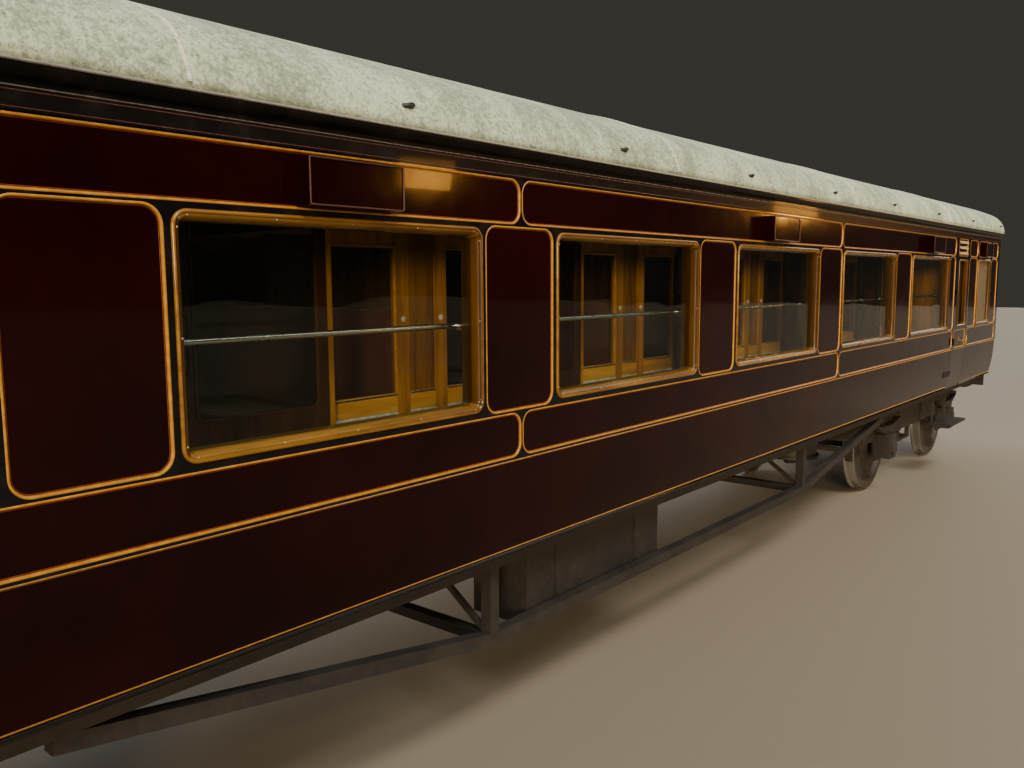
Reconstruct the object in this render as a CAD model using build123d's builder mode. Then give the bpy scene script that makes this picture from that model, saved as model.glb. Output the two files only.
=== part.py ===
"""A bogie passenger coach with a side corridor, wooden panelled sides and an arched canvas roof.

Millimetres, +X along the coach, the corridor side faces -Y, +Z up.
x = 0 is the middle of the coach, y = 0 the middle of the track and z = 0 the foot of the flanges.
"""

import os
from math import asin, cos, pi, sin, sqrt

from build123d import *

os.makedirs("parts", exist_ok=True)

# Wheels on the rail
flange_depth = 28.0
tread_diameter = 1105.0
back_to_back = 1362.0
tyre_width = 127.0
axle_height = flange_depth + tread_diameter / 2
rail_top = flange_depth

# Bogies
bogie_centres = 13260.0
bogie_wheelbase = 2743.0
journal_centres = 1981.0
journal_radius = 62.0
frame_plate = 20.0
running_gap = 0.3

# Lengths along the body
body_length = 18288.0
compartments = 6
compartment_pitch = 2189.0
window_width = 1585.0
door_centre = 6943.0
door_width = 690.0
door_gap = 6.0
end_light_centre = 8187.0
end_light_width = 764.0

# Widths across the body
body_width = 2743.0
moulding_proud = 8.0
side_thickness = 95.0
tumblehome = 60.0
end_thickness = 60.0
panel_face = body_width / 2 - moulding_proud
room_half = panel_face - side_thickness
body_end = body_length / 2

# Heights, stacked up from the rail
floor_height = 1300.0
floor_thickness = 60.0
side_drop = 180.0
lower_panel_height = 520.0
bead = 26.0
waist_panel_height = 218.0
light_panel_height = 915.0
eaves_panel_height = 210.0
top_bead = 14.0
cantrail_height = 135.0
roof_rise = 545.0
window_height = 889.0
window_lift = 16.0

floor_top = rail_top + floor_height
floor_bottom = floor_top - floor_thickness
body_bottom = floor_top - side_drop
moulding_bottom = body_bottom + lower_panel_height
waist_bottom = moulding_bottom + bead
waist_top = waist_bottom + waist_panel_height
light_bottom = waist_top + bead
light_top = light_bottom + light_panel_height
eaves_bottom = light_top + bead
eaves_top = eaves_bottom + eaves_panel_height
cantrail_bottom = eaves_top + top_bead
cantrail_top = cantrail_bottom + cantrail_height
window_bottom = light_bottom + window_lift
window_top = window_bottom + window_height
window_middle = (window_bottom + window_top) / 2

# Panels and windows
panel_corner = 65.0
window_corner = 57.0
light_band = 38.5
frame_face = 36.0
frame_proud = 10.0
glass_thickness = 6.0
glass_depth = 40.0
half_joint = 13.0
jamb_margin = 30.0
door_corner = 40.0

doorway_inner = door_centre - door_width / 2 - door_gap
doorway_outer = door_centre + door_width / 2 + door_gap
window_places = [(k - (compartments - 1) / 2) * compartment_pitch for k in range(compartments)]
compartment_walls = [(k - compartments / 2) * compartment_pitch for k in range(compartments + 1)]
sides = {"corridor": -1, "compartment": 1}


def export(piece, name):
    """Label a finished piece and write it as one STEP file."""
    piece.part.label = name
    export_step(piece.part, f"parts/{name}.step")


def upright(y):
    """The plane at y that is drawn in x and z."""
    return Plane.XZ.offset(-y)


def boxed(x_low, x_high, y_low, y_high, z_low, z_high, mode=Mode.ADD):
    """A block between two corners, added to the part at hand."""
    middle = ((x_low + x_high) / 2, (y_low + y_high) / 2, (z_low + z_high) / 2)
    with Locations(middle):
        Box(x_high - x_low, y_high - y_low, z_high - z_low, mode=mode)


def rounded(x_low, x_high, z_low, z_high, radius, mode=Mode.ADD):
    """A rectangle with round corners between two corners, added to the sketch at hand."""
    with Locations(((x_low + x_high) / 2, (z_low + z_high) / 2)):
        RectangleRounded(x_high - x_low, z_high - z_low, radius, mode=mode)


def filled(points, mode=Mode.ADD):
    """A face with straight edges through the points, added to the sketch at hand."""
    with BuildLine() as outline:
        Polyline(*points, close=True)
    make_face(outline.line, mode=mode)


def arch(half_span, haunch_radius, rise):
    """Points of a three-centred arch: foot, haunch middle, joint and crown, from its springing line."""
    haunch_centre = half_span - haunch_radius
    crown_radius = (haunch_centre**2 + rise**2 - haunch_radius**2) / (2 * (rise - haunch_radius))
    joint_angle = asin(haunch_centre / (crown_radius - haunch_radius))
    middle_angle = (pi / 2 + joint_angle) / 2
    middle = (haunch_centre + haunch_radius * sin(middle_angle), haunch_radius * cos(middle_angle))
    joint = (haunch_centre + haunch_radius * sin(joint_angle), haunch_radius * cos(joint_angle))
    return (half_span, 0), middle, joint, (0, rise)


def arch_lines(points, springing):
    """The three arcs of an arch from left to right, drawn in the line at hand."""
    foot, middle, joint, crown = points
    left = [(-y, springing + z) for y, z in (foot, middle, joint)]
    right = [(y, springing + z) for y, z in (joint, middle, foot)]
    ThreePointArc(*left)
    ThreePointArc(left[2], (crown[0], springing + crown[1]), right[0])
    ThreePointArc(*right)


# The side wall: upright from the waist up, with a tumblehome below
tumble_height = moulding_bottom - body_bottom - 10
tumble_top = body_bottom + tumble_height
tumble_radius = (tumble_height**2 + tumblehome**2) / (2 * tumblehome)


def tumble_in(height):
    """How far the side has come in at a height below the waist."""
    fall = max(tumble_top - height, 0)
    return tumble_radius - sqrt(tumble_radius**2 - fall**2)


def side_section(side, bottom, top, thickness):
    """The section of a wall or a door in y and z, added to the sketch at hand."""
    middle = (bottom + tumble_top) / 2
    inner = side * (panel_face - thickness)
    with BuildLine() as outline:
        ThreePointArc(
            (side * (panel_face - tumble_in(bottom)), bottom),
            (side * (panel_face - tumble_in(middle)), middle),
            (side * panel_face, tumble_top),
        )
        Polyline((side * panel_face, tumble_top), (side * panel_face, top), (inner, top))
        Polyline((inner, top), (inner, bottom), (side * (panel_face - tumble_in(bottom)), bottom))
    make_face(outline.line)


# Hinges: a pin in three knuckles, two on the post and one on the door
knuckle_radius = 11.0
knuckle_stand = 12.0
knuckle_length = 30.0
hinge_pin = 5.0
hinge_tab = 30.0
hinge_tab_thickness = 8.0


def hinge(x, face, side, toward, z, on_door):
    """One half of a hinge on an upright face, added to the part at hand."""
    pitch = knuckle_length + 1
    centre = face + side * knuckle_stand
    foots = [z + pitch] if on_door else [z, z + 2 * pitch]
    turn = toward if on_door else -toward
    y_low, y_high = sorted((face, face + side * hinge_tab_thickness))
    for foot in foots:
        with BuildSketch(Plane.XY.offset(foot)) as knuckle:
            with Locations((x, centre)):
                Circle(knuckle_radius)
                if on_door:
                    Circle(hinge_pin + running_gap, mode=Mode.SUBTRACT)
        extrude(knuckle.sketch, amount=knuckle_length)
        gap = knuckle_radius - 2 if on_door else 0
        tab_low, tab_high = sorted((x + turn * gap, x + turn * hinge_tab))
        boxed(tab_low, tab_high, y_low, y_high, foot, foot + knuckle_length)
    if not on_door:
        with BuildSketch(Plane.XY.offset(z)) as pin:
            with Locations((x, centre)):
                Circle(hinge_pin)
        extrude(pin.sketch, amount=2 * pitch + knuckle_length)


# Each wall has three lengths, from doorway to doorway and from each doorway to the body's end
hinge_line = doorway_inner + door_gap / 2
hinge_heights = [moulding_bottom + 60, window_middle - 45, cantrail_bottom - 240]
wall_lengths = [(-body_end, -doorway_outer), (-doorway_inner, doorway_inner), (doorway_outer, body_end)]
end_light_places = [-end_light_centre, end_light_centre]
window_cutter = 2 * side_thickness


def window_outlines(mode):
    """The outlines of all the windows in a side, added to the sketch at hand."""
    with Locations(*[(x, window_middle) for x in window_places]):
        RectangleRounded(window_width, window_height, window_corner, mode=mode)
    with Locations(*[(x, window_middle) for x in end_light_places]):
        RectangleRounded(end_light_width, window_height, window_corner, mode=mode)


for side_name, side in sides.items():
    with BuildPart() as side_wall:
        for x_low, x_high in wall_lengths:
            with BuildSketch(Plane.YZ.offset(x_low)):
                side_section(side, body_bottom, cantrail_bottom, side_thickness)
            extrude(amount=x_high - x_low)
        with BuildSketch(upright(side * (panel_face - side_thickness / 2))):
            window_outlines(Mode.ADD)
        extrude(amount=window_cutter / 2, both=True, mode=Mode.SUBTRACT)
    export(side_wall, f"side_{side_name}")

with BuildPart() as cantrails:
    for side in sides.values():
        y_low, y_high = sorted((side * room_half, side * panel_face))
        boxed(-body_end, body_end, y_low, y_high, cantrail_bottom, cantrail_top)
export(cantrails, "cantrails")

# The raised mouldings: one skin on each length of wall, open at every panel and window
eaves_joints = [-2186.0, 2453.0]
end_panel = (7313.0, 7750.0)
corner_panel = (8621.0, 9009.0)
long_end = doorway_inner - jamb_margin
long_starts = [-long_end] + [x + half_joint for x in eaves_joints]
long_stops = [x - half_joint for x in eaves_joints] + [long_end]
long_panels = list(zip(long_starts, long_stops))
light_panel_width = compartment_pitch - window_width - 2 * light_band
narrow_start = window_places[-1] + window_width / 2 + light_band
end_bays = [end_panel, corner_panel]
end_light_low = end_light_centre - end_light_width / 2
end_light_high = end_light_centre + end_light_width / 2
end_eaves = [end_panel, (end_light_low + light_band / 2, end_light_high - light_band / 2), corner_panel]


def both_ends(spans):
    """Spans at the right end and the same spans mirrored at the left end."""
    return list(spans) + [(-high, -low) for low, high in spans]


# Panel rows: low x, high x, low z and high z
panel_rows = [(low, high, eaves_bottom, eaves_top) for low, high in long_panels + both_ends(end_eaves)]
waist_panels = long_panels + both_ends([(end_panel[0], corner_panel[1])])
panel_rows += [(low, high, waist_bottom, waist_top) for low, high in waist_panels]
panel_rows += [
    (x - light_panel_width / 2, x + light_panel_width / 2, light_bottom, light_top)
    for x in compartment_walls[1:-1]
]
light_panels = both_ends([(narrow_start, long_end)] + end_bays)
panel_rows += [(low, high, light_bottom, light_top) for low, high in light_panels]

for side_name, side in sides.items():
    with BuildPart() as mouldings:
        with BuildSketch(upright(side * (panel_face + moulding_proud / 2))):
            for x_low, x_high in wall_lengths:
                filled([
                    (x_low, moulding_bottom), (x_high, moulding_bottom),
                    (x_high, cantrail_bottom), (x_low, cantrail_bottom),
                ])
            for x_low, x_high, z_low, z_high in panel_rows:
                rounded(x_low, x_high, z_low, z_high, panel_corner, mode=Mode.SUBTRACT)
            window_outlines(Mode.SUBTRACT)
        extrude(amount=moulding_proud / 2, both=True)
        for end in (-1, 1):
            for z in hinge_heights:
                hinge(end * hinge_line, side * body_width / 2, side, end, z, on_door=False)
    export(mouldings, f"mouldings_{side_name}")

# The cornice under the roof's edge: a bead, a flat fascia and a round gutter moulding
cornice_reach = 46.0
cornice_bead = 16.0
cornice_fascia = 8.0
gutter_height = 45.0
gutter_lip = 10.0
with BuildPart() as cornices:
    for side in sides.values():
        with BuildSketch(Plane.YZ.offset(-body_end)):
            with BuildLine():
                Polyline(
                    (side * panel_face, cantrail_top),
                    (side * panel_face, cantrail_bottom),
                    (side * (panel_face + cornice_bead), cantrail_bottom),
                    (side * (panel_face + cornice_bead), cantrail_bottom + cornice_bead),
                    (side * (panel_face + cornice_fascia), cantrail_bottom + cornice_bead),
                    (side * (panel_face + cornice_fascia), cantrail_top - gutter_height),
                )
                ThreePointArc(
                    (side * (panel_face + cornice_fascia), cantrail_top - gutter_height),
                    (side * (panel_face + cornice_reach * 0.8), cantrail_top - gutter_height * 0.55),
                    (side * (panel_face + cornice_reach), cantrail_top - gutter_lip),
                )
                Polyline(
                    (side * (panel_face + cornice_reach), cantrail_top - gutter_lip),
                    (side * (panel_face + cornice_reach), cantrail_top),
                    (side * panel_face, cantrail_top),
                )
            make_face()
        extrude(amount=body_length)
export(cornices, "cornices")

# The roof: a three-centred arch outside and inside
roof_overhang = 50.0
roof_haunch = 300.0
ceiling_haunch = 250.0
crown_thickness = 40.0
roof_half = panel_face + roof_overhang
outer_arch = arch(roof_half, roof_haunch, roof_rise)
inner_arch = arch(room_half, ceiling_haunch, roof_rise - crown_thickness)
end_band = 45.0
end_band_proud = 14.0
end_band_half = roof_half - end_band
end_band_arch = arch(end_band_half, roof_haunch - end_band, roof_rise - end_band)
with BuildPart() as roof:
    with BuildSketch(Plane.YZ.offset(-body_end)):
        with BuildLine():
            arch_lines(outer_arch, cantrail_top)
            Line((-roof_half, cantrail_top), (roof_half, cantrail_top))
        make_face()
        with BuildLine():
            arch_lines(inner_arch, cantrail_top)
            Line((-room_half, cantrail_top), (room_half, cantrail_top))
        make_face(mode=Mode.SUBTRACT)
    extrude(amount=body_length)
    for turn in (-1, 1):
        with BuildSketch(Plane.YZ.offset(turn * body_end)):
            with BuildLine():
                arch_lines(outer_arch, cantrail_top)
                Line((-roof_half, cantrail_top), (roof_half, cantrail_top))
            make_face()
            with BuildLine():
                arch_lines(end_band_arch, cantrail_top)
                Line((-end_band_half, cantrail_top), (end_band_half, cantrail_top))
            make_face(mode=Mode.SUBTRACT)
        extrude(amount=turn * end_band_proud)
export(roof, "roof")


def room_section(bottom, half=room_half - running_gap):
    """The inside of the body above a level, in y and z, added to the sketch at hand."""
    points = arch(half, ceiling_haunch, roof_rise - crown_thickness - running_gap)
    with BuildLine() as outline:
        arch_lines(points, cantrail_top)
        Polyline((half, cantrail_top), (half, bottom), (-half, bottom), (-half, cantrail_top))
    make_face(outline.line)


def keep_between(y_low, y_high, z_low, z_high):
    """Trim the sketch at hand, drawn in y and z, to a rectangle."""
    with Locations(((y_low + y_high) / 2, (z_low + z_high) / 2)):
        Rectangle(y_high - y_low, z_high - z_low, mode=Mode.INTERSECT)


above_roof = cantrail_top + roof_rise + 100

# Sliding doors stand on strips of the floor, and pass in front of the partition's pilasters
corridor_face = -640.0
slide_door_width = 860.0
slide_door_thickness = 30.0
slide_door_gap = 6.0
slide_door_stand = 18.0
slide_travel = 640.0
floor_strip = 12.0

# The floor and the end walls with the way through to the gangways
gangway_width = 760.0
gangway_height = 1930.0
door_foot_thickness = 25.0
door_leaf = tumblehome + door_foot_thickness
end_beads = [-1040.0, -800.0, -560.0, 560.0, 800.0, 1040.0]
end_bead_width = 44.0
end_bead_height = 2700.0
end_bead_proud = 12.0
end_steps = 6
end_step_low = 1420.0
end_step_pitch = 330.0
end_step_reach = 120.0
end_step_plate = 12.0
end_step_y = 920.0
end_step_half = 95.0
with BuildPart() as floor:
    boxed(-body_end + end_thickness, body_end - end_thickness, -room_half, room_half, floor_bottom, floor_top)
    strip_y = corridor_face - slide_door_stand - slide_door_thickness / 2
    for x in window_places:
        boxed(
            x - slide_door_width / 2, x + slide_door_width / 2 + slide_travel,
            strip_y - floor_strip / 2, strip_y + floor_strip / 2,
            floor_top, floor_top + slide_door_gap - running_gap,
        )
export(floor, "floor")

with BuildPart() as end_walls:
    for x_low in (-body_end, body_end - end_thickness):
        with BuildSketch(Plane.YZ.offset(x_low)):
            room_section(floor_bottom)
            with Locations((0, floor_top + gangway_height / 2)):
                Rectangle(gangway_width, gangway_height, mode=Mode.SUBTRACT)
        extrude(amount=end_thickness)
    for turn in (-1, 1):
        with BuildSketch(Plane.YZ.offset(turn * body_end)):
            room_section(floor_bottom)
            with BuildSketch(mode=Mode.INTERSECT):
                with Locations(*[(y, body_bottom + end_bead_height / 2) for y in end_beads]):
                    Rectangle(end_bead_width, end_bead_height)
        extrude(amount=turn * end_bead_proud)
        for k in range(end_steps):
            low, high = sorted((turn * body_end, turn * (body_end + end_step_reach)))
            z = end_step_low + k * end_step_pitch
            boxed(low, high, end_step_y - end_step_half, end_step_y + end_step_half, z, z + end_step_plate)
export(end_walls, "end_walls")

# Window frames through the walls, and the panes in them
window_rows = [(x, window_width) for x in window_places] + [(x, end_light_width) for x in end_light_places]
sight_corner = window_corner - frame_face / 2
pane_height = window_height - 2 * frame_face
frame_depth = moulding_proud + frame_proud + side_thickness
with BuildPart() as window_frames:
    for side in sides.values():
        with BuildSketch(upright(side * (room_half + frame_depth / 2))):
            for x, width in window_rows:
                with Locations((x, window_middle)):
                    RectangleRounded(width, window_height, window_corner)
                    RectangleRounded(width - 2 * frame_face, pane_height, sight_corner, mode=Mode.SUBTRACT)
        extrude(amount=frame_depth / 2, both=True)
export(window_frames, "window_frames")

# The corridor partition: boards with two lights each between the sliding doors, and flat pilasters on them
partition_thickness = 35.0
partition_inner = corridor_face + partition_thickness
partition_board = 195.0
partition_light = 449.0
partition_post = 38.0
slide_door_height = 1850.0
partition_rail = 645.0
partition_light_top = 1450.0
fixed_half = partition_board + partition_light + partition_post
light_centre_offset = partition_board + partition_light / 2
header_bottom = floor_top + slide_door_height
partition_light_z = floor_top + (partition_rail + partition_light_top) / 2
partition_light_height = partition_light_top - partition_rail
run_low = compartment_walls[0]
run_high = compartment_walls[-1]
partition_lights = [
    wall + turn * light_centre_offset
    for wall in compartment_walls
    for turn in (-1, 1)
    if run_low < wall + turn * light_centre_offset < run_high
]
pilaster_width = 92.0
pilaster_proud = 12.0
pilaster_offset = partition_board - pilaster_width / 2
pilasters = [
    wall + turn * pilaster_offset
    for wall in compartment_walls
    for turn in (-1, 1)
    if run_low < wall + turn * pilaster_offset < run_high
]
with BuildPart() as corridor_partition:
    with BuildSketch(upright(partition_inner)):
        for wall in compartment_walls:
            x_low = max(wall - fixed_half, run_low)
            x_high = min(wall + fixed_half, run_high)
            filled([(x_low, floor_top), (x_high, floor_top), (x_high, header_bottom), (x_low, header_bottom)])
        with Locations(*[(x, partition_light_z) for x in partition_lights]):
            Rectangle(partition_light, partition_light_height, mode=Mode.SUBTRACT)
    extrude(amount=partition_thickness)
    with BuildSketch(upright(corridor_face)):
        with Locations(*[(x, (floor_top + header_bottom) / 2) for x in pilasters]):
            Rectangle(pilaster_width, slide_door_height)
    extrude(amount=pilaster_proud)
export(corridor_partition, "corridor_partition")

with BuildPart() as partition_header:
    with BuildSketch(Plane.YZ.offset(run_low)):
        room_section(floor_top)
        keep_between(corridor_face, partition_inner, header_bottom, above_roof)
    extrude(amount=run_high - run_low)
export(partition_header, "partition_header")

with BuildPart() as window_glass:
    for side in sides.values():
        with BuildSketch(upright(side * (body_width / 2 - glass_depth))):
            with Locations(*[(x, window_middle) for x in window_places]):
                RectangleRounded(window_width - 2 * frame_face, pane_height, sight_corner)
            with Locations(*[(x, window_middle) for x in end_light_places]):
                RectangleRounded(end_light_width - 2 * frame_face, pane_height, sight_corner)
        extrude(amount=glass_thickness / 2, both=True)
    with BuildSketch(upright(corridor_face + partition_thickness / 2)):
        with Locations(*[(x, partition_light_z) for x in partition_lights]):
            Rectangle(partition_light, partition_light_height)
    extrude(amount=glass_thickness / 2, both=True)
export(window_glass, "window_glass")

# The sliding doors
slide_door_stile = 95.0
slide_door_rail = 640.0
slide_door_back = corridor_face - slide_door_stand
slide_door_foot = floor_top + slide_door_gap
slide_door_head = header_bottom + 60
for k, x in enumerate(window_places):
    with BuildPart() as slide_door:
        with BuildSketch(upright(slide_door_back)):
            with Locations((x, (slide_door_foot + slide_door_head) / 2)):
                Rectangle(slide_door_width, slide_door_head - slide_door_foot)
            rounded(
                x - slide_door_width / 2 + slide_door_stile,
                x + slide_door_width / 2 - slide_door_stile,
                slide_door_foot + slide_door_rail,
                slide_door_head - 1.5 * slide_door_stile,
                door_corner,
                mode=Mode.SUBTRACT,
            )
        extrude(amount=slide_door_thickness)
    export(slide_door, f"sliding_door_{k + 1}")

# Walls between the compartments, from the corridor partition to the far side
wall_thickness = 40.0
with BuildPart() as cross_partitions:
    for x in compartment_walls:
        with BuildSketch(Plane.YZ.offset(x - wall_thickness / 2)):
            room_section(floor_top)
            keep_between(partition_inner, room_half, floor_top, above_roof)
        extrude(amount=wall_thickness)
export(cross_partitions, "cross_partitions")

# The lavatories beside the end passages
lavatory_wall = 30.0
lavatory_side = -400.0
lavatory_start = 7760.0
lavatory_door_x = 8420.0
lavatory_door_width = 560.0
lavatory_door_height = 1830.0
lavatory_door_thickness = 26.0
lavatory_back = lavatory_side - lavatory_wall
lavatory_hinge = lavatory_door_x + lavatory_door_width / 2 + door_gap / 2
lavatory_hinge_heights = [floor_top + 250, floor_top + 1450]
lavatory_way = lavatory_door_width + 2 * door_gap
with BuildPart() as lavatory_walls:
    for turn in (-1, 1):
        low, high = sorted((turn * lavatory_start, turn * (body_end - end_thickness)))
        with BuildSketch(Plane.YZ.offset(low)):
            room_section(floor_top)
            keep_between(lavatory_side - lavatory_wall, lavatory_side, floor_top, above_roof)
        extrude(amount=high - low)
        boxed(
            turn * lavatory_door_x - lavatory_way / 2, turn * lavatory_door_x + lavatory_way / 2,
            lavatory_back, lavatory_side, floor_top, floor_top + lavatory_door_height, mode=Mode.SUBTRACT,
        )
        for z in lavatory_hinge_heights:
            hinge(turn * lavatory_hinge, lavatory_back, -1, -turn, z, on_door=False)
        with BuildSketch(Plane.YZ.offset(turn * lavatory_start - lavatory_wall / 2)):
            room_section(floor_top)
            keep_between(-room_half, lavatory_side - lavatory_wall, floor_top, above_roof)
        extrude(amount=lavatory_wall)
export(lavatory_walls, "lavatory_walls")

for end_name, turn in {"left": -1, "right": 1}.items():
    with BuildPart() as lavatory_door:
        x = turn * lavatory_door_x
        boxed(
            x - lavatory_door_width / 2, x + lavatory_door_width / 2,
            lavatory_back, lavatory_back + lavatory_door_thickness,
            floor_top + door_gap, floor_top + lavatory_door_height - door_gap,
        )
        for z in lavatory_hinge_heights:
            hinge(turn * lavatory_hinge, lavatory_back, -1, -turn, z, on_door=True)
    export(lavatory_door, f"lavatory_door_{end_name}")

# Seats face each other in every compartment
seat_length = room_half - partition_inner - 40
seat_middle = (room_half + partition_inner) / 2
seat_depth = 560.0
seat_frame_height = 300.0
cushion_height = 160.0
back_thickness = 130.0
back_height = 680.0
cushion_round = 40.0
frame_setback = 60.0
seat_faces = [
    (wall + turn * wall_thickness / 2, turn)
    for wall in compartment_walls
    for turn in (-1, 1)
    if run_low < wall + turn * seat_depth < run_high
]
with BuildPart() as seat_frames:
    for face, turn in seat_faces:
        x_low, x_high = sorted((face, face + turn * (seat_depth - frame_setback)))
        y_low = seat_middle - seat_length / 2
        boxed(x_low, x_high, y_low, y_low + seat_length, floor_top, floor_top + seat_frame_height)
export(seat_frames, "seat_frames")

seat_top = floor_top + seat_frame_height + cushion_height
cushion_gap = 2.0
with BuildPart() as seat_cushions:
    with BuildSketch(upright(seat_middle)):
        for face, turn in seat_faces:
            x_low, x_high = sorted((face, face + turn * seat_depth))
            rounded(x_low, x_high, floor_top + seat_frame_height + running_gap, seat_top, cushion_round)
            x_low, x_high = sorted((face + turn * running_gap, face + turn * back_thickness))
            rounded(x_low, x_high, seat_top + cushion_gap, seat_top + back_height, cushion_round)
    extrude(amount=seat_length / 2, both=True)
export(seat_cushions, "seat_cushions")

# Luggage racks over the seats: brackets that carry a shelf of rails
rack_height = 1560.0
rack_depth = 340.0
rack_bracket = 14.0
rack_rail = 18.0
rack_rails = 4
bracket_drop = 150.0
rack_z = floor_top + rack_height
rack_length = seat_length - 60
with BuildPart() as luggage_racks:
    for face, turn in seat_faces:
        for y in (-0.45, 0, 0.45):
            with BuildSketch(upright(seat_middle + y * rack_length)):
                filled([
                    (face, rack_z), (face, rack_z - bracket_drop), (face + turn * 30, rack_z - bracket_drop),
                    (face + turn * rack_depth, rack_z - 25), (face + turn * rack_depth, rack_z),
                ])
            extrude(amount=rack_bracket / 2, both=True)
        for k in range(rack_rails):
            x = face + turn * (rack_depth * (k + 0.5) / rack_rails + rack_rail / 2)
            y_low = seat_middle - rack_length / 2
            boxed(x - rack_rail / 2, x + rack_rail / 2, y_low, y_low + rack_length, rack_z - 10, rack_z + 8)
export(luggage_racks, "luggage_racks")

# A steel rail across every corridor window
rail_radius = 14.0
rail_stand = 55.0
rail_height = 2345.0
rail_reach = window_width + 60
boss_radius = 26.0
with BuildPart() as window_rails:
    for x in window_places:
        axis_plane = Plane(origin=(x, -room_half + rail_stand, rail_top + rail_height), z_dir=(1, 0, 0))
        with BuildSketch(axis_plane):
            Circle(rail_radius)
        extrude(amount=rail_reach / 2, both=True)
        for turn in (-1, 1):
            boss = Plane(
                origin=(x + turn * (rail_reach / 2 - boss_radius), -room_half, rail_top + rail_height),
                z_dir=(0, 1, 0),
            )
            with BuildSketch(boss):
                Circle(boss_radius)
            extrude(amount=rail_stand)
export(window_rails, "window_rails")

# Box ventilators on the eaves, over every other window, each with a sunk front
hood_width = 487.0
hood_height = 183.0
hood_proud = 92.0
hood_rim = 8.0
hood_sunk = 3.0
hood_lift = 6.0
hood_offsets = [(1, -28.0), (3, -110.0), (5, -28.0)]
end_hood_width = 420.0
end_hood_proud = 70.0
hood_rows = [(window_places[k] + offset, hood_width, hood_proud) for k, offset in hood_offsets]
hood_rows += [(x, end_hood_width, end_hood_proud) for x in end_light_places]
hood_bottom = eaves_bottom + hood_lift
with BuildPart() as hood_ventilators:
    for side in sides.values():
        for x, width, proud in hood_rows:
            y_low, y_high = sorted((side * panel_face, side * (panel_face + proud)))
            boxed(x - width / 2, x + width / 2, y_low, y_high, hood_bottom, hood_bottom + hood_height)
            y_low, y_high = sorted((side * (panel_face + proud - hood_sunk), side * (panel_face + proud)))
            boxed(
                x - width / 2 + hood_rim, x + width / 2 - hood_rim, y_low, y_high,
                hood_bottom + hood_rim, hood_bottom + hood_height - hood_rim, mode=Mode.SUBTRACT,
            )
export(hood_ventilators, "hood_ventilators")

# Side doors: a leaf with the side's own section, a light, a waist panel and a louvred vent
door_light_offset = 32.0
door_light_width = 449.0
door_light_margin = 20.0
door_panel_margin = 60.0
louvre_width = 440.0
louvre_slats = 3
slat_height = 40.0
closing_bevel = 9.0
door_bottom = body_bottom + door_gap
door_top = cantrail_bottom - door_gap
door_light_low = window_bottom + door_light_margin
door_light_high = window_top - door_light_margin
for side_name, side in sides.items():
    for end_name, end in {"left": -1, "right": 1}.items():
        centre = end * door_centre
        light_x = centre + end * door_light_offset
        with BuildPart() as door:
            with BuildSketch(Plane.YZ.offset(centre - door_width / 2)):
                side_section(side, door_bottom, door_top, door_leaf)
            extrude(amount=door_width)
            with BuildSketch(upright(side * (panel_face + moulding_proud / 2))):
                with Locations((centre, (moulding_bottom + door_top) / 2)):
                    Rectangle(door_width, door_top - moulding_bottom)
                rounded(
                    centre - door_width / 2 + door_panel_margin, centre + door_width / 2 - door_panel_margin,
                    waist_bottom, waist_top, panel_corner / 2, mode=Mode.SUBTRACT,
                )
                rounded(
                    centre - louvre_width / 2, centre + louvre_width / 2,
                    eaves_bottom, eaves_top, panel_corner / 4, mode=Mode.SUBTRACT,
                )
            extrude(amount=moulding_proud / 2, both=True)
            with BuildSketch(upright(side * panel_face)):
                rounded(
                    light_x - door_light_width / 2, light_x + door_light_width / 2,
                    door_light_low, door_light_high, door_corner,
                )
            extrude(amount=side_thickness, both=True, mode=Mode.SUBTRACT)
            free_edge = centre + end * door_width / 2
            inner_face = side * (panel_face - door_leaf)
            with BuildSketch(Plane.XY.offset(door_bottom)):
                filled([
                    (free_edge, side * panel_face), (free_edge, inner_face),
                    (free_edge - end * closing_bevel, inner_face),
                ])
            extrude(amount=door_top - door_bottom, mode=Mode.SUBTRACT)
            for z in hinge_heights:
                hinge(end * hinge_line, side * body_width / 2, side, end, z, on_door=True)
            for k in range(louvre_slats):
                slat_z = eaves_bottom + (k + 0.5) * eaves_panel_height / louvre_slats
                with BuildSketch(Plane.YZ.offset(centre - louvre_width / 2)):
                    filled([
                        (side * (panel_face - 2), slat_z + slat_height / 2),
                        (side * (panel_face + moulding_proud + 14), slat_z - slat_height / 2),
                        (side * (panel_face - 2), slat_z - slat_height / 2),
                    ])
                extrude(amount=louvre_width)
        export(door, f"door_{side_name}_{end_name}")
        with BuildPart() as door_glass:
            with BuildSketch(upright(side * (panel_face - door_leaf / 2))):
                rounded(
                    light_x - door_light_width / 2, light_x + door_light_width / 2,
                    door_light_low, door_light_high, door_corner,
                )
            extrude(amount=glass_thickness / 2, both=True)
        export(door_glass, f"door_glass_{side_name}_{end_name}")

# The underframe: solebars, headstocks, cross members and truss frames
solebar_depth = 229.0
solebar_flange = 76.0
solebar_web = 12.0
solebar_out = 1186.0
headstock_depth = 300.0
headstock_thickness = 60.0
underframe_bottom = floor_bottom - solebar_depth
headstock_face = body_end - 24
solebar_end = headstock_face - headstock_thickness
with BuildPart() as solebars:
    for side in sides.values():
        web = side * solebar_out
        back = side * (solebar_out - solebar_flange)
        inside = side * (solebar_out - solebar_web)
        with BuildSketch(Plane.YZ.offset(-solebar_end)):
            filled([
                (web, underframe_bottom), (web, floor_bottom), (back, floor_bottom),
                (back, floor_bottom - solebar_web), (inside, floor_bottom - solebar_web),
                (inside, underframe_bottom + solebar_web), (back, underframe_bottom + solebar_web),
                (back, underframe_bottom),
            ])
        extrude(amount=2 * solebar_end)
export(solebars, "solebars")

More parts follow.
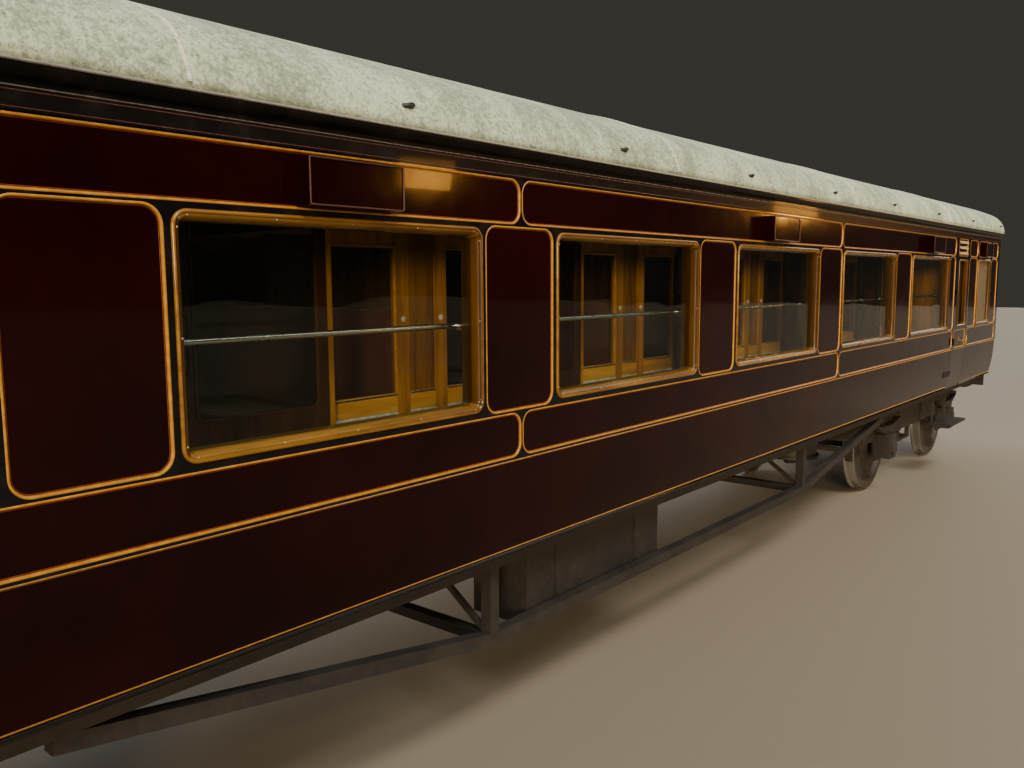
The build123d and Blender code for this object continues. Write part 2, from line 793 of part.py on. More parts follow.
headstock_half = room_half - 10
with BuildPart() as headstocks:
    for turn in (-1, 1):
        x_low, x_high = sorted((turn * solebar_end, turn * headstock_face))
        boxed(
            x_low, x_high, -headstock_half, headstock_half,
            floor_bottom - headstock_depth, floor_bottom,
        )
export(headstocks, "headstocks")

bogie_middle = bogie_centres / 2
body_bolster = 320.0
cross_width = 90.0
cross_places = [-8800.0, -4400.0, -2200.0, 0.0, 2200.0, 4400.0, 8800.0]
cross_half = solebar_out - solebar_flange
pivot_drop = 38.0
pivot_radius = 190.0
pin_radius = 40.0
pin_drop = 120.0
cross_lift = 60.0
pipe_radius = 27.0
pipe_play = 0.5
pipe_y = 200.0
pipe_z = underframe_bottom + 45
gusset = 110.0
gusset_y = 900.0
gusset_thickness = 16.0
with BuildPart() as cross_members:
    for x in cross_places:
        boxed(
            x - cross_width / 2, x + cross_width / 2, -cross_half, cross_half,
            underframe_bottom + cross_lift, floor_bottom,
        )
    for x in (-bogie_middle, bogie_middle):
        boxed(
            x - body_bolster / 2, x + body_bolster / 2, -cross_half, cross_half,
            underframe_bottom, floor_bottom,
        )
        with BuildSketch(Plane.XY.offset(underframe_bottom)):
            with Locations((x, 0)):
                Circle(pivot_radius)
        extrude(amount=-pivot_drop)
        with BuildSketch(Plane.XY.offset(underframe_bottom - pivot_drop)):
            with Locations((x, 0)):
                Circle(pin_radius)
        extrude(amount=-pin_drop)
    for side in sides.values():
        for x in cross_places[1:-1]:
            for turn in (-1, 1):
                face = x + turn * cross_width / 2
                tip = face + turn * gusset
                with BuildSketch(upright(side * gusset_y)):
                    filled([(face, floor_bottom), (tip, floor_bottom), (face, floor_bottom - gusset)])
                extrude(amount=gusset_thickness / 2, both=True)
    for bore, mode in ((pipe_radius + pipe_play, Mode.SUBTRACT), (pipe_radius, Mode.ADD)):
        with BuildSketch(Plane.YZ.offset(-solebar_end)):
            with Locations(*[(side * pipe_y, pipe_z) for side in sides.values()]):
                Circle(bore)
        extrude(amount=2 * solebar_end, mode=mode)
export(cross_members, "cross_members")

truss_bar = 70.0
truss_reach = 4500.0
truss_post = 2200.0
truss_drop = 400.0
truss_inner = solebar_out - truss_bar
tie_depth = 60.0
brace_foot = 520.0


def bar(start, stop, width):
    """A straight bar between two points, added to the sketch at hand."""
    start = Vector(*start)
    stop = Vector(*stop)
    run = (stop - start).normalized()
    across = Vector(-run.Y, run.X) * (width / 2)
    corners = [start + across, stop + across, stop - across, start - across]
    filled([(corner.X, corner.Y) for corner in corners])


truss_low = underframe_bottom - truss_drop
with BuildPart() as trussing:
    for side in sides.values():
        with BuildSketch(upright(side * (solebar_out - truss_bar / 2))):
            for turn in (-1, 1):
                bar((turn * truss_reach, underframe_bottom - 20), (turn * truss_post, truss_low), truss_bar)
                bar((turn * truss_post, underframe_bottom), (turn * truss_post, truss_low), truss_bar)
                with Locations((turn * truss_post, truss_low)):
                    Circle(truss_bar / 2)
            bar((-truss_post, truss_low), (truss_post, truss_low), truss_bar)
            with Locations((0, underframe_bottom + 500)):
                Rectangle(3 * truss_reach, 1000, mode=Mode.SUBTRACT)
        extrude(amount=truss_bar / 2, both=True)
    for turn in (-1, 1):
        tie_x = turn * truss_post
        boxed(
            tie_x - truss_bar / 2, tie_x + truss_bar / 2, -truss_inner, truss_inner,
            truss_low - tie_depth / 2, truss_low + tie_depth / 2,
        )
        for side in sides.values():
            with BuildSketch(Plane.YZ.offset(tie_x - tie_depth / 4)):
                foot = (side * (truss_inner + 20), truss_low + 20)
                head = (side * brace_foot, underframe_bottom + cross_lift)
                bar(foot, head, tie_depth / 2)
                with Locations((0, underframe_bottom + cross_lift + 500)):
                    Rectangle(2 * solebar_out, 1000, mode=Mode.SUBTRACT)
            extrude(amount=tie_depth / 2)
export(trussing, "trussing")

# What hangs under the floor
battery_places = [(-1050.0, -1), (1050.0, 1)]
battery_size = (1500.0, 420.0, 480.0)
battery_edge = truss_inner - 30
with BuildPart() as battery_boxes:
    for x, side in battery_places:
        y_low, y_high = sorted((side * battery_edge, side * (battery_edge - battery_size[1])))
        z_low = underframe_bottom - battery_size[2]
        boxed(x - battery_size[0] / 2, x + battery_size[0] / 2, y_low, y_high, z_low, underframe_bottom)
        for strap in (-0.3, 0.3):
            strap_x = x + strap * battery_size[0]
            outer = side * (battery_edge + 8)
            low, high = sorted((side * (battery_edge - 4), outer))
            boxed(strap_x - 20, strap_x + 20, low, high, z_low, underframe_bottom)
            boxed(strap_x - 20, strap_x + 20, y_low, y_high, underframe_bottom, floor_bottom)
export(battery_boxes, "battery_boxes")

cylinder_radius = 270.0
cylinder_height = 420.0
cylinder_places = [(-3400.0, 560.0), (3400.0, -560.0)]
with BuildPart() as vacuum_cylinders:
    for x, y in cylinder_places:
        with BuildSketch(Plane.XZ.offset(-y)):
            with BuildLine():
                Polyline(
                    (x, floor_bottom), (x + 60, floor_bottom), (x + 60, underframe_bottom + 80),
                    (x + cylinder_radius - 50, underframe_bottom + 80),
                )
                ThreePointArc(
                    (x + cylinder_radius - 50, underframe_bottom + 80),
                    (x + cylinder_radius - 15, underframe_bottom + 65),
                    (x + cylinder_radius, underframe_bottom + 30),
                )
                Polyline(
                    (x + cylinder_radius, underframe_bottom + 30),
                    (x + cylinder_radius, underframe_bottom - cylinder_height + 110),
                    (x + cylinder_radius + 25, underframe_bottom - cylinder_height + 110),
                    (x + cylinder_radius + 25, underframe_bottom - cylinder_height + 80),
                    (x + 80, underframe_bottom - cylinder_height + 80),
                    (x + 60, underframe_bottom - cylinder_height),
                    (x, underframe_bottom - cylinder_height), (x, floor_bottom),
                )
            make_face()
        revolve(axis=Axis((x, y, 0), (0, 0, 1)))
export(vacuum_cylinders, "vacuum_cylinders")

dynamo_radius = 150.0
dynamo_length = 520.0
dynamo_x = 4400.0 - 600
dynamo_y = 620.0
dynamo_z = underframe_bottom - 230
with BuildPart() as dynamo:
    with BuildSketch(upright(dynamo_y - dynamo_length / 2)):
        with Locations((dynamo_x, dynamo_z)):
            Circle(dynamo_radius)
    extrude(amount=-dynamo_length)
    with BuildSketch(upright(dynamo_y + dynamo_length / 2)):
        with Locations((dynamo_x, dynamo_z)):
            Circle(dynamo_radius * 0.55)
    extrude(amount=-90)
    for offset in (-0.3, 0.3):
        y = dynamo_y + offset * dynamo_length
        boxed(dynamo_x - 60, dynamo_x + 60, y - 15, y + 15, dynamo_z, floor_bottom)
export(dynamo, "dynamo")

# A step board under each side door, on two hangers from the solebar
step_length = 760.0
step_width = 230.0
step_thickness = 30.0
step_z = 640.0
step_hanger = 40.0
with BuildPart() as footboards:
    for side in sides.values():
        for centre in (-door_centre, door_centre):
            outer = side * (solebar_out + step_width)
            y_low, y_high = sorted((side * (solebar_out - 40), outer))
            z_low = rail_top + step_z
            boxed(
                centre - step_length / 2, centre + step_length / 2, y_low, y_high,
                z_low, z_low + step_thickness,
            )
            h_low, h_high = sorted((side * (solebar_out - 40), side * (solebar_out - 40 + step_thickness)))
            for turn in (-1, 1):
                x = centre + turn * (step_length / 2 - 90)
                boxed(x - step_hanger / 2, x + step_hanger / 2, h_low, h_high, z_low, underframe_bottom)
export(footboards, "footboards")

# Buffers: a socket, a shank and a round-faced head
buffer_height = 1054.0
buffer_spread = 1727.0
buffer_reach = 470.0
buffer_z = rail_top + buffer_height
buffer_face = body_end + buffer_reach
# Buffer outline: distance behind the face and radius
buffer_outline = [
    (0, 150), (8, 215), (30, 225), (44, 215), (60, 60), (240, 60), (240, 95), (420, 115), (424, 170),
]
with BuildPart() as buffers:
    for turn in (-1, 1):
        for side in sides.values():
            y = side * buffer_spread / 2
            back = buffer_face - headstock_face
            outline = [(0, 0)] + buffer_outline + [(back, 170), (back, 0)]
            with BuildSketch(Plane.XZ.offset(-y)):
                filled([(turn * (buffer_face - behind), buffer_z + radius) for behind, radius in outline])
            revolve(axis=Axis((0, y, buffer_z), (1, 0, 0)))
export(buffers, "buffers")

# Draw hooks between the buffers
hook_thickness = 50.0
hook_reach = 250.0
hook_plate = 260.0
with BuildPart() as drawgear:
    for turn in (-1, 1):
        with BuildSketch(upright(0)):
            face = headstock_face
            filled([
                (turn * x, buffer_z + z)
                for x, z in [
                    (face, -45), (face + hook_reach - 40, -70), (face + hook_reach, -30),
                    (face + hook_reach + 6, 60), (face + hook_reach - 30, 75), (face + hook_reach - 45, 0),
                    (face + hook_reach - 90, -12), (face + hook_reach - 120, 30), (face, 45),
                ]
            ])
        extrude(amount=hook_thickness / 2, both=True)
        low, high = sorted((turn * headstock_face, turn * (headstock_face + 20)))
        half = hook_plate / 2
        boxed(low, high, -half, half, buffer_z - half, buffer_z + half)
export(drawgear, "drawgear")

# Gangways: folded bellows and a steel face plate
bellows_length = 440.0
bellows_wall = 40.0
fold_depth = 45.0
folds = 6
plate_rim = 130.0
plate_thickness = 30.0
bridge_thickness = 20.0
bellows_foot = floor_top - 40
bellows_height = gangway_height + 40
fold_pitch = bellows_length / folds / 2
gangway_z = bellows_foot + bellows_height / 2
with BuildPart() as gangway_bellows:
    for turn in (-1, 1):
        for k in range(2 * folds):
            near = fold_depth * (k % 2)
            far = fold_depth * ((k + 1) % 2)
            for step, grow in ((k, near), (k + 1, far)):
                with BuildSketch(Plane.YZ.offset(turn * (body_end + step * fold_pitch))):
                    with Locations((0, gangway_z)):
                        size = bellows_wall + grow
                        Rectangle(gangway_width + 2 * size, bellows_height + 2 * size)
            loft()
        low, high = sorted((turn * body_end, turn * (body_end + bellows_length)))
        boxed(
            low, high, -gangway_width / 2, gangway_width / 2,
            gangway_z - bellows_height / 2, gangway_z + bellows_height / 2, mode=Mode.SUBTRACT,
        )
export(gangway_bellows, "gangway_bellows")

with BuildPart() as gangway_faceplates:
    for turn in (-1, 1):
        with BuildSketch(Plane.YZ.offset(turn * (body_end + bellows_length))):
            with Locations((0, gangway_z)):
                RectangleRounded(gangway_width + 2 * plate_rim, bellows_height + 2 * plate_rim, 60)
                Rectangle(gangway_width, bellows_height, mode=Mode.SUBTRACT)
        extrude(amount=turn * plate_thickness)
        low, high = sorted((turn * (body_end + 10), turn * (body_end + bellows_length + plate_thickness)))
        boxed(low, high, -gangway_width / 2, gangway_width / 2, bellows_foot, bellows_foot + bridge_thickness)
export(gangway_faceplates, "gangway_faceplates")

# Wheelset outline, half of it: distance from the middle and radius
tyre_inner = back_to_back / 2
tyre_outer = tyre_inner + tyre_width
tread_radius = tread_diameter / 2
flange_radius = tread_radius + flange_depth
axle_radius = 84.0
hub_radius = 135.0
rim_radius = tread_radius - 75
axle_end = journal_centres / 2 + 85
wheel_outline = [
    (0, axle_radius - 4),
    (tyre_inner - 40, axle_radius),
    (tyre_inner - 30, hub_radius),
    (tyre_inner + 20, hub_radius + 5),
    (tyre_inner + 52, hub_radius + 70),
    (tyre_inner + 56, rim_radius - 25),
    (tyre_inner, rim_radius),
    (tyre_inner, flange_radius - 8),
    (tyre_inner + 14, flange_radius),
    (tyre_inner + 27, flange_radius - 6),
    (tyre_inner + 38, tread_radius + 1.5),
    (tyre_outer, tread_radius - 3.5),
    (tyre_outer, rim_radius),
    (tyre_inner + 80, rim_radius - 25),
    (tyre_inner + 76, hub_radius + 70),
    (tyre_outer, hub_radius + 5),
    (tyre_outer + 25, hub_radius),
    (tyre_outer + 30, axle_radius - 4),
    (tyre_outer + 70, axle_radius - 4),
    (tyre_outer + 75, journal_radius),
    (axle_end, journal_radius),
]
bogies = {"left": -bogie_middle, "right": bogie_middle}
wheel_half = bogie_wheelbase / 2
wheelset_number = 0
for bogie_x in bogies.values():
    for turn in (-1, 1):
        wheelset_number += 1
        x = bogie_x + turn * wheel_half
        outline = [(y, r) for y, r in wheel_outline] + [(axle_end, 0), (-axle_end, 0)]
        outline += [(-y, r) for y, r in reversed(wheel_outline[1:])]
        with BuildPart() as wheelset:
            with BuildSketch(Plane(origin=(x, 0, axle_height), x_dir=(0, 1, 0), z_dir=(1, 0, 0))):
                filled(outline)
            revolve(axis=Axis((x, 0, axle_height), (0, 1, 0)))
        export(wheelset, f"wheelset_{wheelset_number}")

# Bogie frame values
plate_middle = journal_centres / 2 - 65
frame_low = 660.0
frame_high = 930.0
frame_end = 2035.0
horn_width = 232.0
horn_wing = 120.0
horn_foot = 400.0
horn_top = 770.0
bogie_headstock = 60.0
transom_inner = 205.0
transom_outer = 255.0
bolster_half = 180.0
spring_plank = 30.0
plank_z = 470.0
block_gap = 9.0
block_depth = 50.0
beam_width = 50.0
box_height = 290.0
box_depth = 190.0
box_width = horn_width - 2 * running_gap
box_inner = journal_centres / 2 - 90
leaf_count = 7
leaf_thickness = 12.0
leaf_width = 76.0
leaf_half = 470.0
leaf_camber = 70.0
coil_radius = 85.0
coil_turns = 5
coil_groove = 22.0
bolster_top = underframe_bottom - pivot_drop - running_gap
bolster_foot = bolster_top - 200
leaf_base = axle_height + box_height / 2 + running_gap

spring_y = journal_centres / 2 + 5
shoe_half = 30.0
leaf_top = leaf_base + 8 + leaf_count * leaf_thickness
shoe_z = leaf_top + leaf_camber + running_gap

for bogie_name, bogie_x in bogies.items():
    with BuildPart() as bogie_frame:
        for side in sides.values():
            with BuildSketch(upright(side * plate_middle)):
                with Locations((bogie_x, (frame_low + frame_high) / 2)):
                    Rectangle(2 * frame_end, frame_high - frame_low)
                for turn in (-1, 1):
                    axle_x = bogie_x + turn * wheel_half
                    foot = horn_width / 2 + 50
                    top = horn_width / 2 + 50 + horn_wing
                    filled([
                        (axle_x - top, frame_low), (axle_x - foot, horn_foot),
                        (axle_x + foot, horn_foot), (axle_x + top, frame_low),
                    ])
                    with Locations((axle_x, (horn_foot + 30 + horn_top) / 2)):
                        Rectangle(horn_width, horn_top - horn_foot - 30, mode=Mode.SUBTRACT)
            extrude(amount=frame_plate / 2, both=True)
            y_low, y_high = sorted((side * plate_middle, side * (plate_middle - 60)))
            boxed(bogie_x - frame_end, bogie_x + frame_end, y_low, y_high, frame_high - 15, frame_high)
        for turn in (-1, 1):
            far = turn * frame_end
            x_low, x_high = sorted((bogie_x + far - turn * bogie_headstock, bogie_x + far))
            boxed(x_low, x_high, -plate_middle, plate_middle, frame_low + 30, frame_high)
            x_low, x_high = sorted((bogie_x + turn * transom_inner, bogie_x + turn * transom_outer))
            boxed(x_low, x_high, -plate_middle, plate_middle, frame_low, frame_high)
            for side in sides.values():
                y = side * 800
                boxed(x_low, x_high, y - 25, y + 25, plank_z, frame_low + 10)
                axle_x = bogie_x + turn * wheel_half
                block_y = side * (tyre_inner + 82)
                block_inner = tread_radius + block_gap
                with BuildSketch(upright(block_y)):
                    with Locations((axle_x, axle_height)):
                        Circle(block_inner + block_depth)
                        Circle(block_inner, mode=Mode.SUBTRACT)
                    with Locations((axle_x + turn * block_inner, axle_height + 30)):
                        Rectangle(3 * block_depth, 330, mode=Mode.INTERSECT)
                extrude(amount=35, both=True)
                hanger_low, hanger_high = sorted((
                    axle_x + turn * (block_inner + block_depth - 8), bogie_x + turn * (frame_end - 10),
                ))
                boxed(
                    hanger_low, hanger_high, block_y - 20, block_y + 20,
                    axle_height + 60, frame_low + 60,
                )
                beam = axle_x + turn * (block_inner + block_depth + beam_width / 2 - 4)
                y_low, y_high = sorted((0, block_y + side * 20))
                boxed(
                    beam - beam_width / 2, beam + beam_width / 2, y_low, y_high,
                    axle_height - beam_width / 2, axle_height + beam_width / 2,
                )
                for tip in (-leaf_half + shoe_half, leaf_half - shoe_half):
                    y_low, y_high = sorted((side * plate_middle, side * (spring_y + leaf_width / 2)))
                    shoe_x = axle_x + tip
                    boxed(shoe_x - shoe_half, shoe_x + shoe_half, y_low, y_high, shoe_z, frame_high)
        boxed(
            bogie_x - transom_outer, bogie_x + transom_outer, -825, 825,
            plank_z - spring_plank, plank_z,
        )
    export(bogie_frame, f"bogie_frame_{bogie_name}")

    with BuildPart() as bolster:
        with BuildSketch(Plane.YZ.offset(bogie_x - bolster_half)):
            filled([
                (-860, bolster_top - 60), (-860, bolster_foot + 80), (-560, bolster_foot),
                (560, bolster_foot), (860, bolster_foot + 80), (860, bolster_top - 60),
                (560, bolster_top), (-560, bolster_top),
            ])
        extrude(amount=2 * bolster_half)
        with BuildSketch(Plane.XY.offset(bolster_top)):
            with Locations((bogie_x, 0)):
                Circle(pin_radius + running_gap)
        extrude(amount=-(pin_drop + 5), mode=Mode.SUBTRACT)
        for side in sides.values():
            y = side * 700
            boxed(
                bogie_x - 100, bogie_x + 100, y - 100, y + 100,
                bolster_foot - 10, bolster_foot + 60,
            )
    export(bolster, f"bolster_{bogie_name}")

    with BuildPart() as axleboxes:
        for turn in (-1, 1):
            for side in sides.values():
                axle_x = bogie_x + turn * wheel_half
                y_low, y_high = sorted((side * box_inner, side * (box_inner + box_depth)))
                boxed(
                    axle_x - box_width / 2, axle_x + box_width / 2, y_low, y_high,
                    axle_height - box_height / 2, axle_height + box_height / 2,
                )
                with BuildSketch(upright(side * (box_inner + box_depth))):
                    with Locations((axle_x, axle_height)):
                        RectangleRounded(150, 180, 40)
                extrude(amount=-side * 22)
                with BuildSketch(upright(side * box_inner)):
                    with Locations((axle_x, axle_height)):
                        Circle(journal_radius + running_gap)
                extrude(amount=-side * (axle_end + 3 - box_inner), mode=Mode.SUBTRACT)
    export(axleboxes, f"axleboxes_{bogie_name}")

    with BuildPart() as springs:
        for turn in (-1, 1):
            for side in sides.values():
                axle_x = bogie_x + turn * wheel_half
                with BuildSketch(upright(side * spring_y)):
                    for k in range(leaf_count):
                        half = leaf_half * (1 - 0.72 * k / (leaf_count - 1))
                        low = leaf_base + 8 + (leaf_count - 1 - k) * leaf_thickness
                        lift = leaf_camber * (half / leaf_half) ** 2
                        with BuildLine():
                            ThreePointArc(
                                (axle_x - half, low + lift), (axle_x, low), (axle_x + half, low + lift),
                            )
                            Line((axle_x + half, low + lift), (axle_x + half, low + lift + leaf_thickness))
                            ThreePointArc(
                                (axle_x + half, low + lift + leaf_thickness), (axle_x, low + leaf_thickness),
                                (axle_x - half, low + lift + leaf_thickness),
                            )
                            Line((axle_x - half, low + lift + leaf_thickness), (axle_x - half, low + lift))
                        make_face()
                    with Locations((axle_x, leaf_base + 50)):
                        Rectangle(100, 100)
                extrude(amount=leaf_width / 2, both=True)
        for side in sides.values():
            y = side * 700
            coil_low = plank_z
            coil_high = bolster_foot - 10
            pitch = (coil_high - coil_low) / coil_turns
            groove = coil_radius - coil_groove
            outline = [(0, coil_low)]
            for k in range(coil_turns):
                turn_low = coil_low + k * pitch
                outline += [(groove, turn_low), (coil_radius, turn_low + pitch / 2)]
            outline += [(groove, coil_high), (0, coil_high)]
            with BuildSketch(upright(y)):
                filled([(bogie_x + radius, z) for radius, z in outline])
            revolve(axis=Axis((bogie_x, y, 0), (0, 0, 1)))
    export(springs, f"springs_{bogie_name}")
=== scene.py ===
# %% [markdown]
# # A railway passenger coach
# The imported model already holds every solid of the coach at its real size. This script gives each of them
# its finish, and adds the thin things that make a varnished wooden coach: gold lines, rounded window frames,
# canvas with its wrinkles, handles and cushions. It is read from top to bottom, one small step at a time.

# %% Load the frame
import math

import bpy
import numpy as np
from mathutils import Matrix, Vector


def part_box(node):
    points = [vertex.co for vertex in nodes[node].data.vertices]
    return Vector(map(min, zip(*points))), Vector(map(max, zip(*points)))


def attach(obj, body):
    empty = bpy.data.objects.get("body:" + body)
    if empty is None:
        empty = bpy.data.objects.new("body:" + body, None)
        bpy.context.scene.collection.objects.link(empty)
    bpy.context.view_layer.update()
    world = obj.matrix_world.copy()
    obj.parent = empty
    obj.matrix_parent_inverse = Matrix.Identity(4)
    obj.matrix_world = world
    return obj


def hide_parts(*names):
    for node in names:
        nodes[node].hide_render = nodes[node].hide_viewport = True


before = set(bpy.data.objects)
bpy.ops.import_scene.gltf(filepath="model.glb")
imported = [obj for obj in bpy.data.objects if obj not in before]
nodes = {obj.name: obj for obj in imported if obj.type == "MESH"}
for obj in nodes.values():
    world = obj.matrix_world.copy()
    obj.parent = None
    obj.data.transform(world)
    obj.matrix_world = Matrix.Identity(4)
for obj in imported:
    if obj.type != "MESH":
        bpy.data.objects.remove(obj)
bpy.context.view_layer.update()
scene = bpy.context.scene

# %% [markdown]
# ## Sizes
# All sizes are metres. The heights are stacked up from the rail in the order in which a coach builder
# frames the side: lower panel, waist panel, lights, eaves panel, cantrail. The ends of the coach come from
# the boxes of the nodes, so nothing here has to be fitted by eye.

# %% Sizes of the body
MM = 0.001
rail_top = 28 * MM
body_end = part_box("cantrails")[1].x
panel_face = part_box("cantrails")[1].y
moulding_proud = 8 * MM
moulding_face = panel_face + moulding_proud
side_thickness = 95 * MM
room_half = panel_face - side_thickness
floor_top = rail_top + 1300 * MM
body_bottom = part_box("side_corridor")[0].z
bead = 26 * MM
moulding_bottom = body_bottom + 520 * MM
waist_bottom = moulding_bottom + bead
waist_top = waist_bottom + 218 * MM
light_bottom = waist_top + bead
light_top = light_bottom + 915 * MM
eaves_bottom = light_top + bead
eaves_top = eaves_bottom + 210 * MM
cantrail_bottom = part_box("cantrails")[0].z
cantrail_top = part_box("cantrails")[1].z
window_bottom = light_bottom + 16 * MM
window_top = window_bottom + 889 * MM
pitch = 2189 * MM
window_width = 1585 * MM
end_light_width = 764 * MM
end_light_x = 8187 * MM
door_x = 6943 * MM
door_width = 690 * MM
window_places = [(k - 2.5) * pitch for k in range(6)]
walls = [(k - 3) * pitch for k in range(7)]
sides = {"corridor": -1, "compartment": 1}
ends = {"left": -1, "right": 1}
print("body", round(2 * body_end, 3), "m long,", round(2 * moulding_face, 3), "m wide")

# %% [markdown]
# ## The two curves of the section
# The lower panel turns in towards the foot on one large circle, the tumblehome. The roof is a large crown
# circle that ends in two small haunches. Both radii follow from how wide and how high the curve is.

# %% Tumblehome and arch
tumblehome = 60 * MM
tumble_height = 510 * MM
tumble_radius = (tumble_height ** 2 + tumblehome ** 2) / (2 * tumblehome)


def side_face(z):
    """How far out the paint is at a height below the waist: the circle of the tumblehome."""
    fall = np.maximum(body_bottom + tumble_height - z, 0)
    return panel_face - tumble_radius + np.sqrt(tumble_radius ** 2 - fall ** 2)


def arch_radius(half, haunch, rise):
    """The crown radius of an arch with two haunches, from its half width and its rise."""
    return ((half - haunch) ** 2 + rise ** 2 - haunch ** 2) / (2 * (rise - haunch))


roof_rise = 545 * MM
roof_haunch = 300 * MM
roof_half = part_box("roof")[1].y
crown_radius = arch_radius(roof_half, roof_haunch, roof_rise)
print("tumblehome radius", round(tumble_radius, 3), "m, crown radius", round(crown_radius, 3), "m")

# %% [markdown]
# ## Materials from expressions
# A material's pattern is arithmetic on noise and on the place of a point. The first class below wraps one
# number that varies over a surface, so that `1 - mask * 0.5` adds the Math nodes by itself. Colours are mixed
# with Mix nodes, because a Math node would turn them grey.


# %% Shader arithmetic
class Flow:
    """A number that varies over a surface. Operators on it add Math nodes."""

    def __init__(self, shader, socket):
        self.shader, self.socket = shader, socket

    def math(self, operation, *others, reverse=False):
        """One Math node: the operation on this number and the others."""
        values = [self, *others]
        if reverse:
            values.reverse()
        node = self.shader.add("ShaderNodeMath", {"operation": operation}, dict(enumerate(values)))
        return Flow(self.shader, node.outputs[0])

    def __add__(self, other): return self.math("ADD", other)
    def __radd__(self, other): return self.math("ADD", other)
    def __sub__(self, other): return self.math("SUBTRACT", other)
    def __rsub__(self, other): return self.math("SUBTRACT", other, reverse=True)
    def __mul__(self, other): return self.math("MULTIPLY", other)
    def __rmul__(self, other): return self.math("MULTIPLY", other)
    def absolute(self): return self.math("ABSOLUTE")
    def most(self, other): return self.math("MAXIMUM", other)
    def power(self, other): return self.math("POWER", other)
    def part(self): return self.math("FRACT")

    def step(self, low, high):
        """0 below low, 1 above high, and a smooth slope between."""
        inputs = {0: self, 1: low, 2: high, 3: 0.0, 4: 1.0}
        node = self.shader.add("ShaderNodeMapRange", {"interpolation_type": "SMOOTHSTEP"}, inputs)
        return Flow(self.shader, node.outputs[0])


class Shader:
    """One material, its nodes and short ways to add them. Values of sockets may be given at once."""

    def __init__(self, name, **sockets):
        self.material = bpy.data.materials.new(name)
        self.material.use_nodes = True
        self.tree = self.material.node_tree
        self.surface = self.tree.nodes["Principled BSDF"]
        self.where = self.add("ShaderNodeTexCoord").outputs["Object"]
        self.finish(**sockets)

    def add(self, kind, settings=None, inputs=None):
        """Add a node of a type, with its settings, and the values or links of its sockets."""
        node = self.tree.nodes.new(kind)
        for key, value in (settings or {}).items():
            setattr(node, key, value)
        for key, value in (inputs or {}).items():
            self.plug(node.inputs[key], value)
        return node

    def plug(self, socket, value):
        """Link a flow or a socket, or set a constant."""
        if isinstance(value, Flow):
            value = value.socket
        if isinstance(value, bpy.types.NodeSocket):
            self.tree.links.new(value, socket)
        else:
            socket.default_value = value

    def axes(self):
        """The three coordinates of a point on the object."""
        node = self.add("ShaderNodeSeparateXYZ", None, {0: self.where})
        return [Flow(self, output) for output in node.outputs]

    def stretched(self, stretch):
        """The place of a point, multiplied along each axis, which squeezes a pattern there."""
        inputs = {0: self.where, 1: stretch}
        return self.add("ShaderNodeVectorMath", {"operation": "MULTIPLY"}, inputs).outputs[0]

    def noise(self, scale, detail=4.0, rough=0.55, stretch=(1, 1, 1), distortion=0.0):
        """Cloudy noise."""
        inputs = {"Vector": self.stretched(stretch), "Scale": scale, "Detail": detail, "Roughness": rough,
                  "Distortion": distortion}
        return Flow(self, self.add("ShaderNodeTexNoise", None, inputs).outputs[0])

    def cells(self, scale):
        """Distances to scattered points, as for a small woven figure."""
        inputs = {"Vector": self.stretched((1, 1, 1)), "Scale": scale}
        return Flow(self, self.add("ShaderNodeTexVoronoi", {"feature": "F1"}, inputs).outputs["Distance"])

    def mark(self):
        """The number that the mesh carries at each point."""
        return Flow(self, self.add("ShaderNodeAttribute", {"attribute_name": "mark"}).outputs["Fac"])

    def mix(self, factor, first, second):
        """A colour between two colours."""
        settings = {"data_type": "RGBA", "blend_type": "MIX"}
        return self.add("ShaderNodeMix", settings, {0: factor, 6: first, 7: second}).outputs[2]

    def bump(self, height, distance, strength=1.0):
        """Small relief without geometry, from a height in metres times the distance."""
        inputs = {"Strength": strength, "Distance": distance, "Height": height}
        return self.add("ShaderNodeBump", None, inputs).outputs["Normal"]

    def finish(self, **sockets):
        """Set or link the sockets of the surface, by their names with low lines for spaces."""
        for key, value in sockets.items():
            self.plug(self.surface.inputs[key.replace("_", " ")], value)
        return self.material


def rgb(red, green, blue):
    """A colour with full cover."""
    return (red, green, blue, 1.0)


print("shader helpers ready")

# %% [markdown]
# ## Varnished wood
# Wood is noise drawn out along the grain, darker in the pores, under a thin clear coat. Two of the finishes
# look at the place along the coach: they repeat with the windows, so the fraction of x over the window pitch
# tells a darker part from the golden wood beside it. The darker part is painted shade: the sunk panel of each
# partition wall with painted shadow lines at its edges, and the sliding doors, which stand back in shade.


# %% Finishes of wood
def wood_colour(shader, pale, dark, along_axis=2, grain=9.0, coarse=0.8):
    """The colour of wood and its finest grain."""
    stretch = [grain, grain, grain]
    stretch[along_axis] = coarse
    broad = shader.noise(1.4, 3.0, 0.6, stretch, distortion=0.6)
    fine = shader.noise(9.0, 5.0, 0.7, stretch, distortion=0.2)
    tone = (broad * 0.65 + fine * 0.35).step(0.36, 0.64)
    return shader.mix(tone, dark, pale), fine


def oiled(shader, colour, fine, coat=0.45, coat_roughness=0.05):
    """Finish a wood: pores in fine relief, duller than the coat over them."""
    return shader.finish(Base_Color=colour, Roughness=fine * 0.12 + 0.16, Coat_Weight=coat,
                         Coat_Roughness=coat_roughness, Normal=shader.bump(fine, 0.0006, 0.6))


def wood(name, pale, dark, along_axis=2):
    """Plain varnished wood; the axis is the way of its grain: 0 along the coach, 2 upright."""
    shader = Shader(name, Specular_IOR_Level=0.25)
    return oiled(shader, *wood_colour(shader, pale, dark, along_axis))


def sliding_door_wood(name):
    """Wood painted dark as shade, with a golden edge towards the right, told apart by the distance from the
    window's middle.
    """
    shader = Shader(name, Specular_IOR_Level=0.25)
    x, y, z = shader.axes()
    edge = (((x * (1 / pitch) + 100.0).part() - 0.5) * pitch).step(396 * MM, 400 * MM)
    colour, fine = wood_colour(shader, *golden)
    # Painted shade: the door stands back in the shade of the partition, so all but its right edge is painted
    # dark.
    dark, _ = wood_colour(shader, rgb(0.075, 0.026, 0.008), rgb(0.034, 0.012, 0.005))
    return oiled(shader, shader.mix(edge, dark, colour), fine)


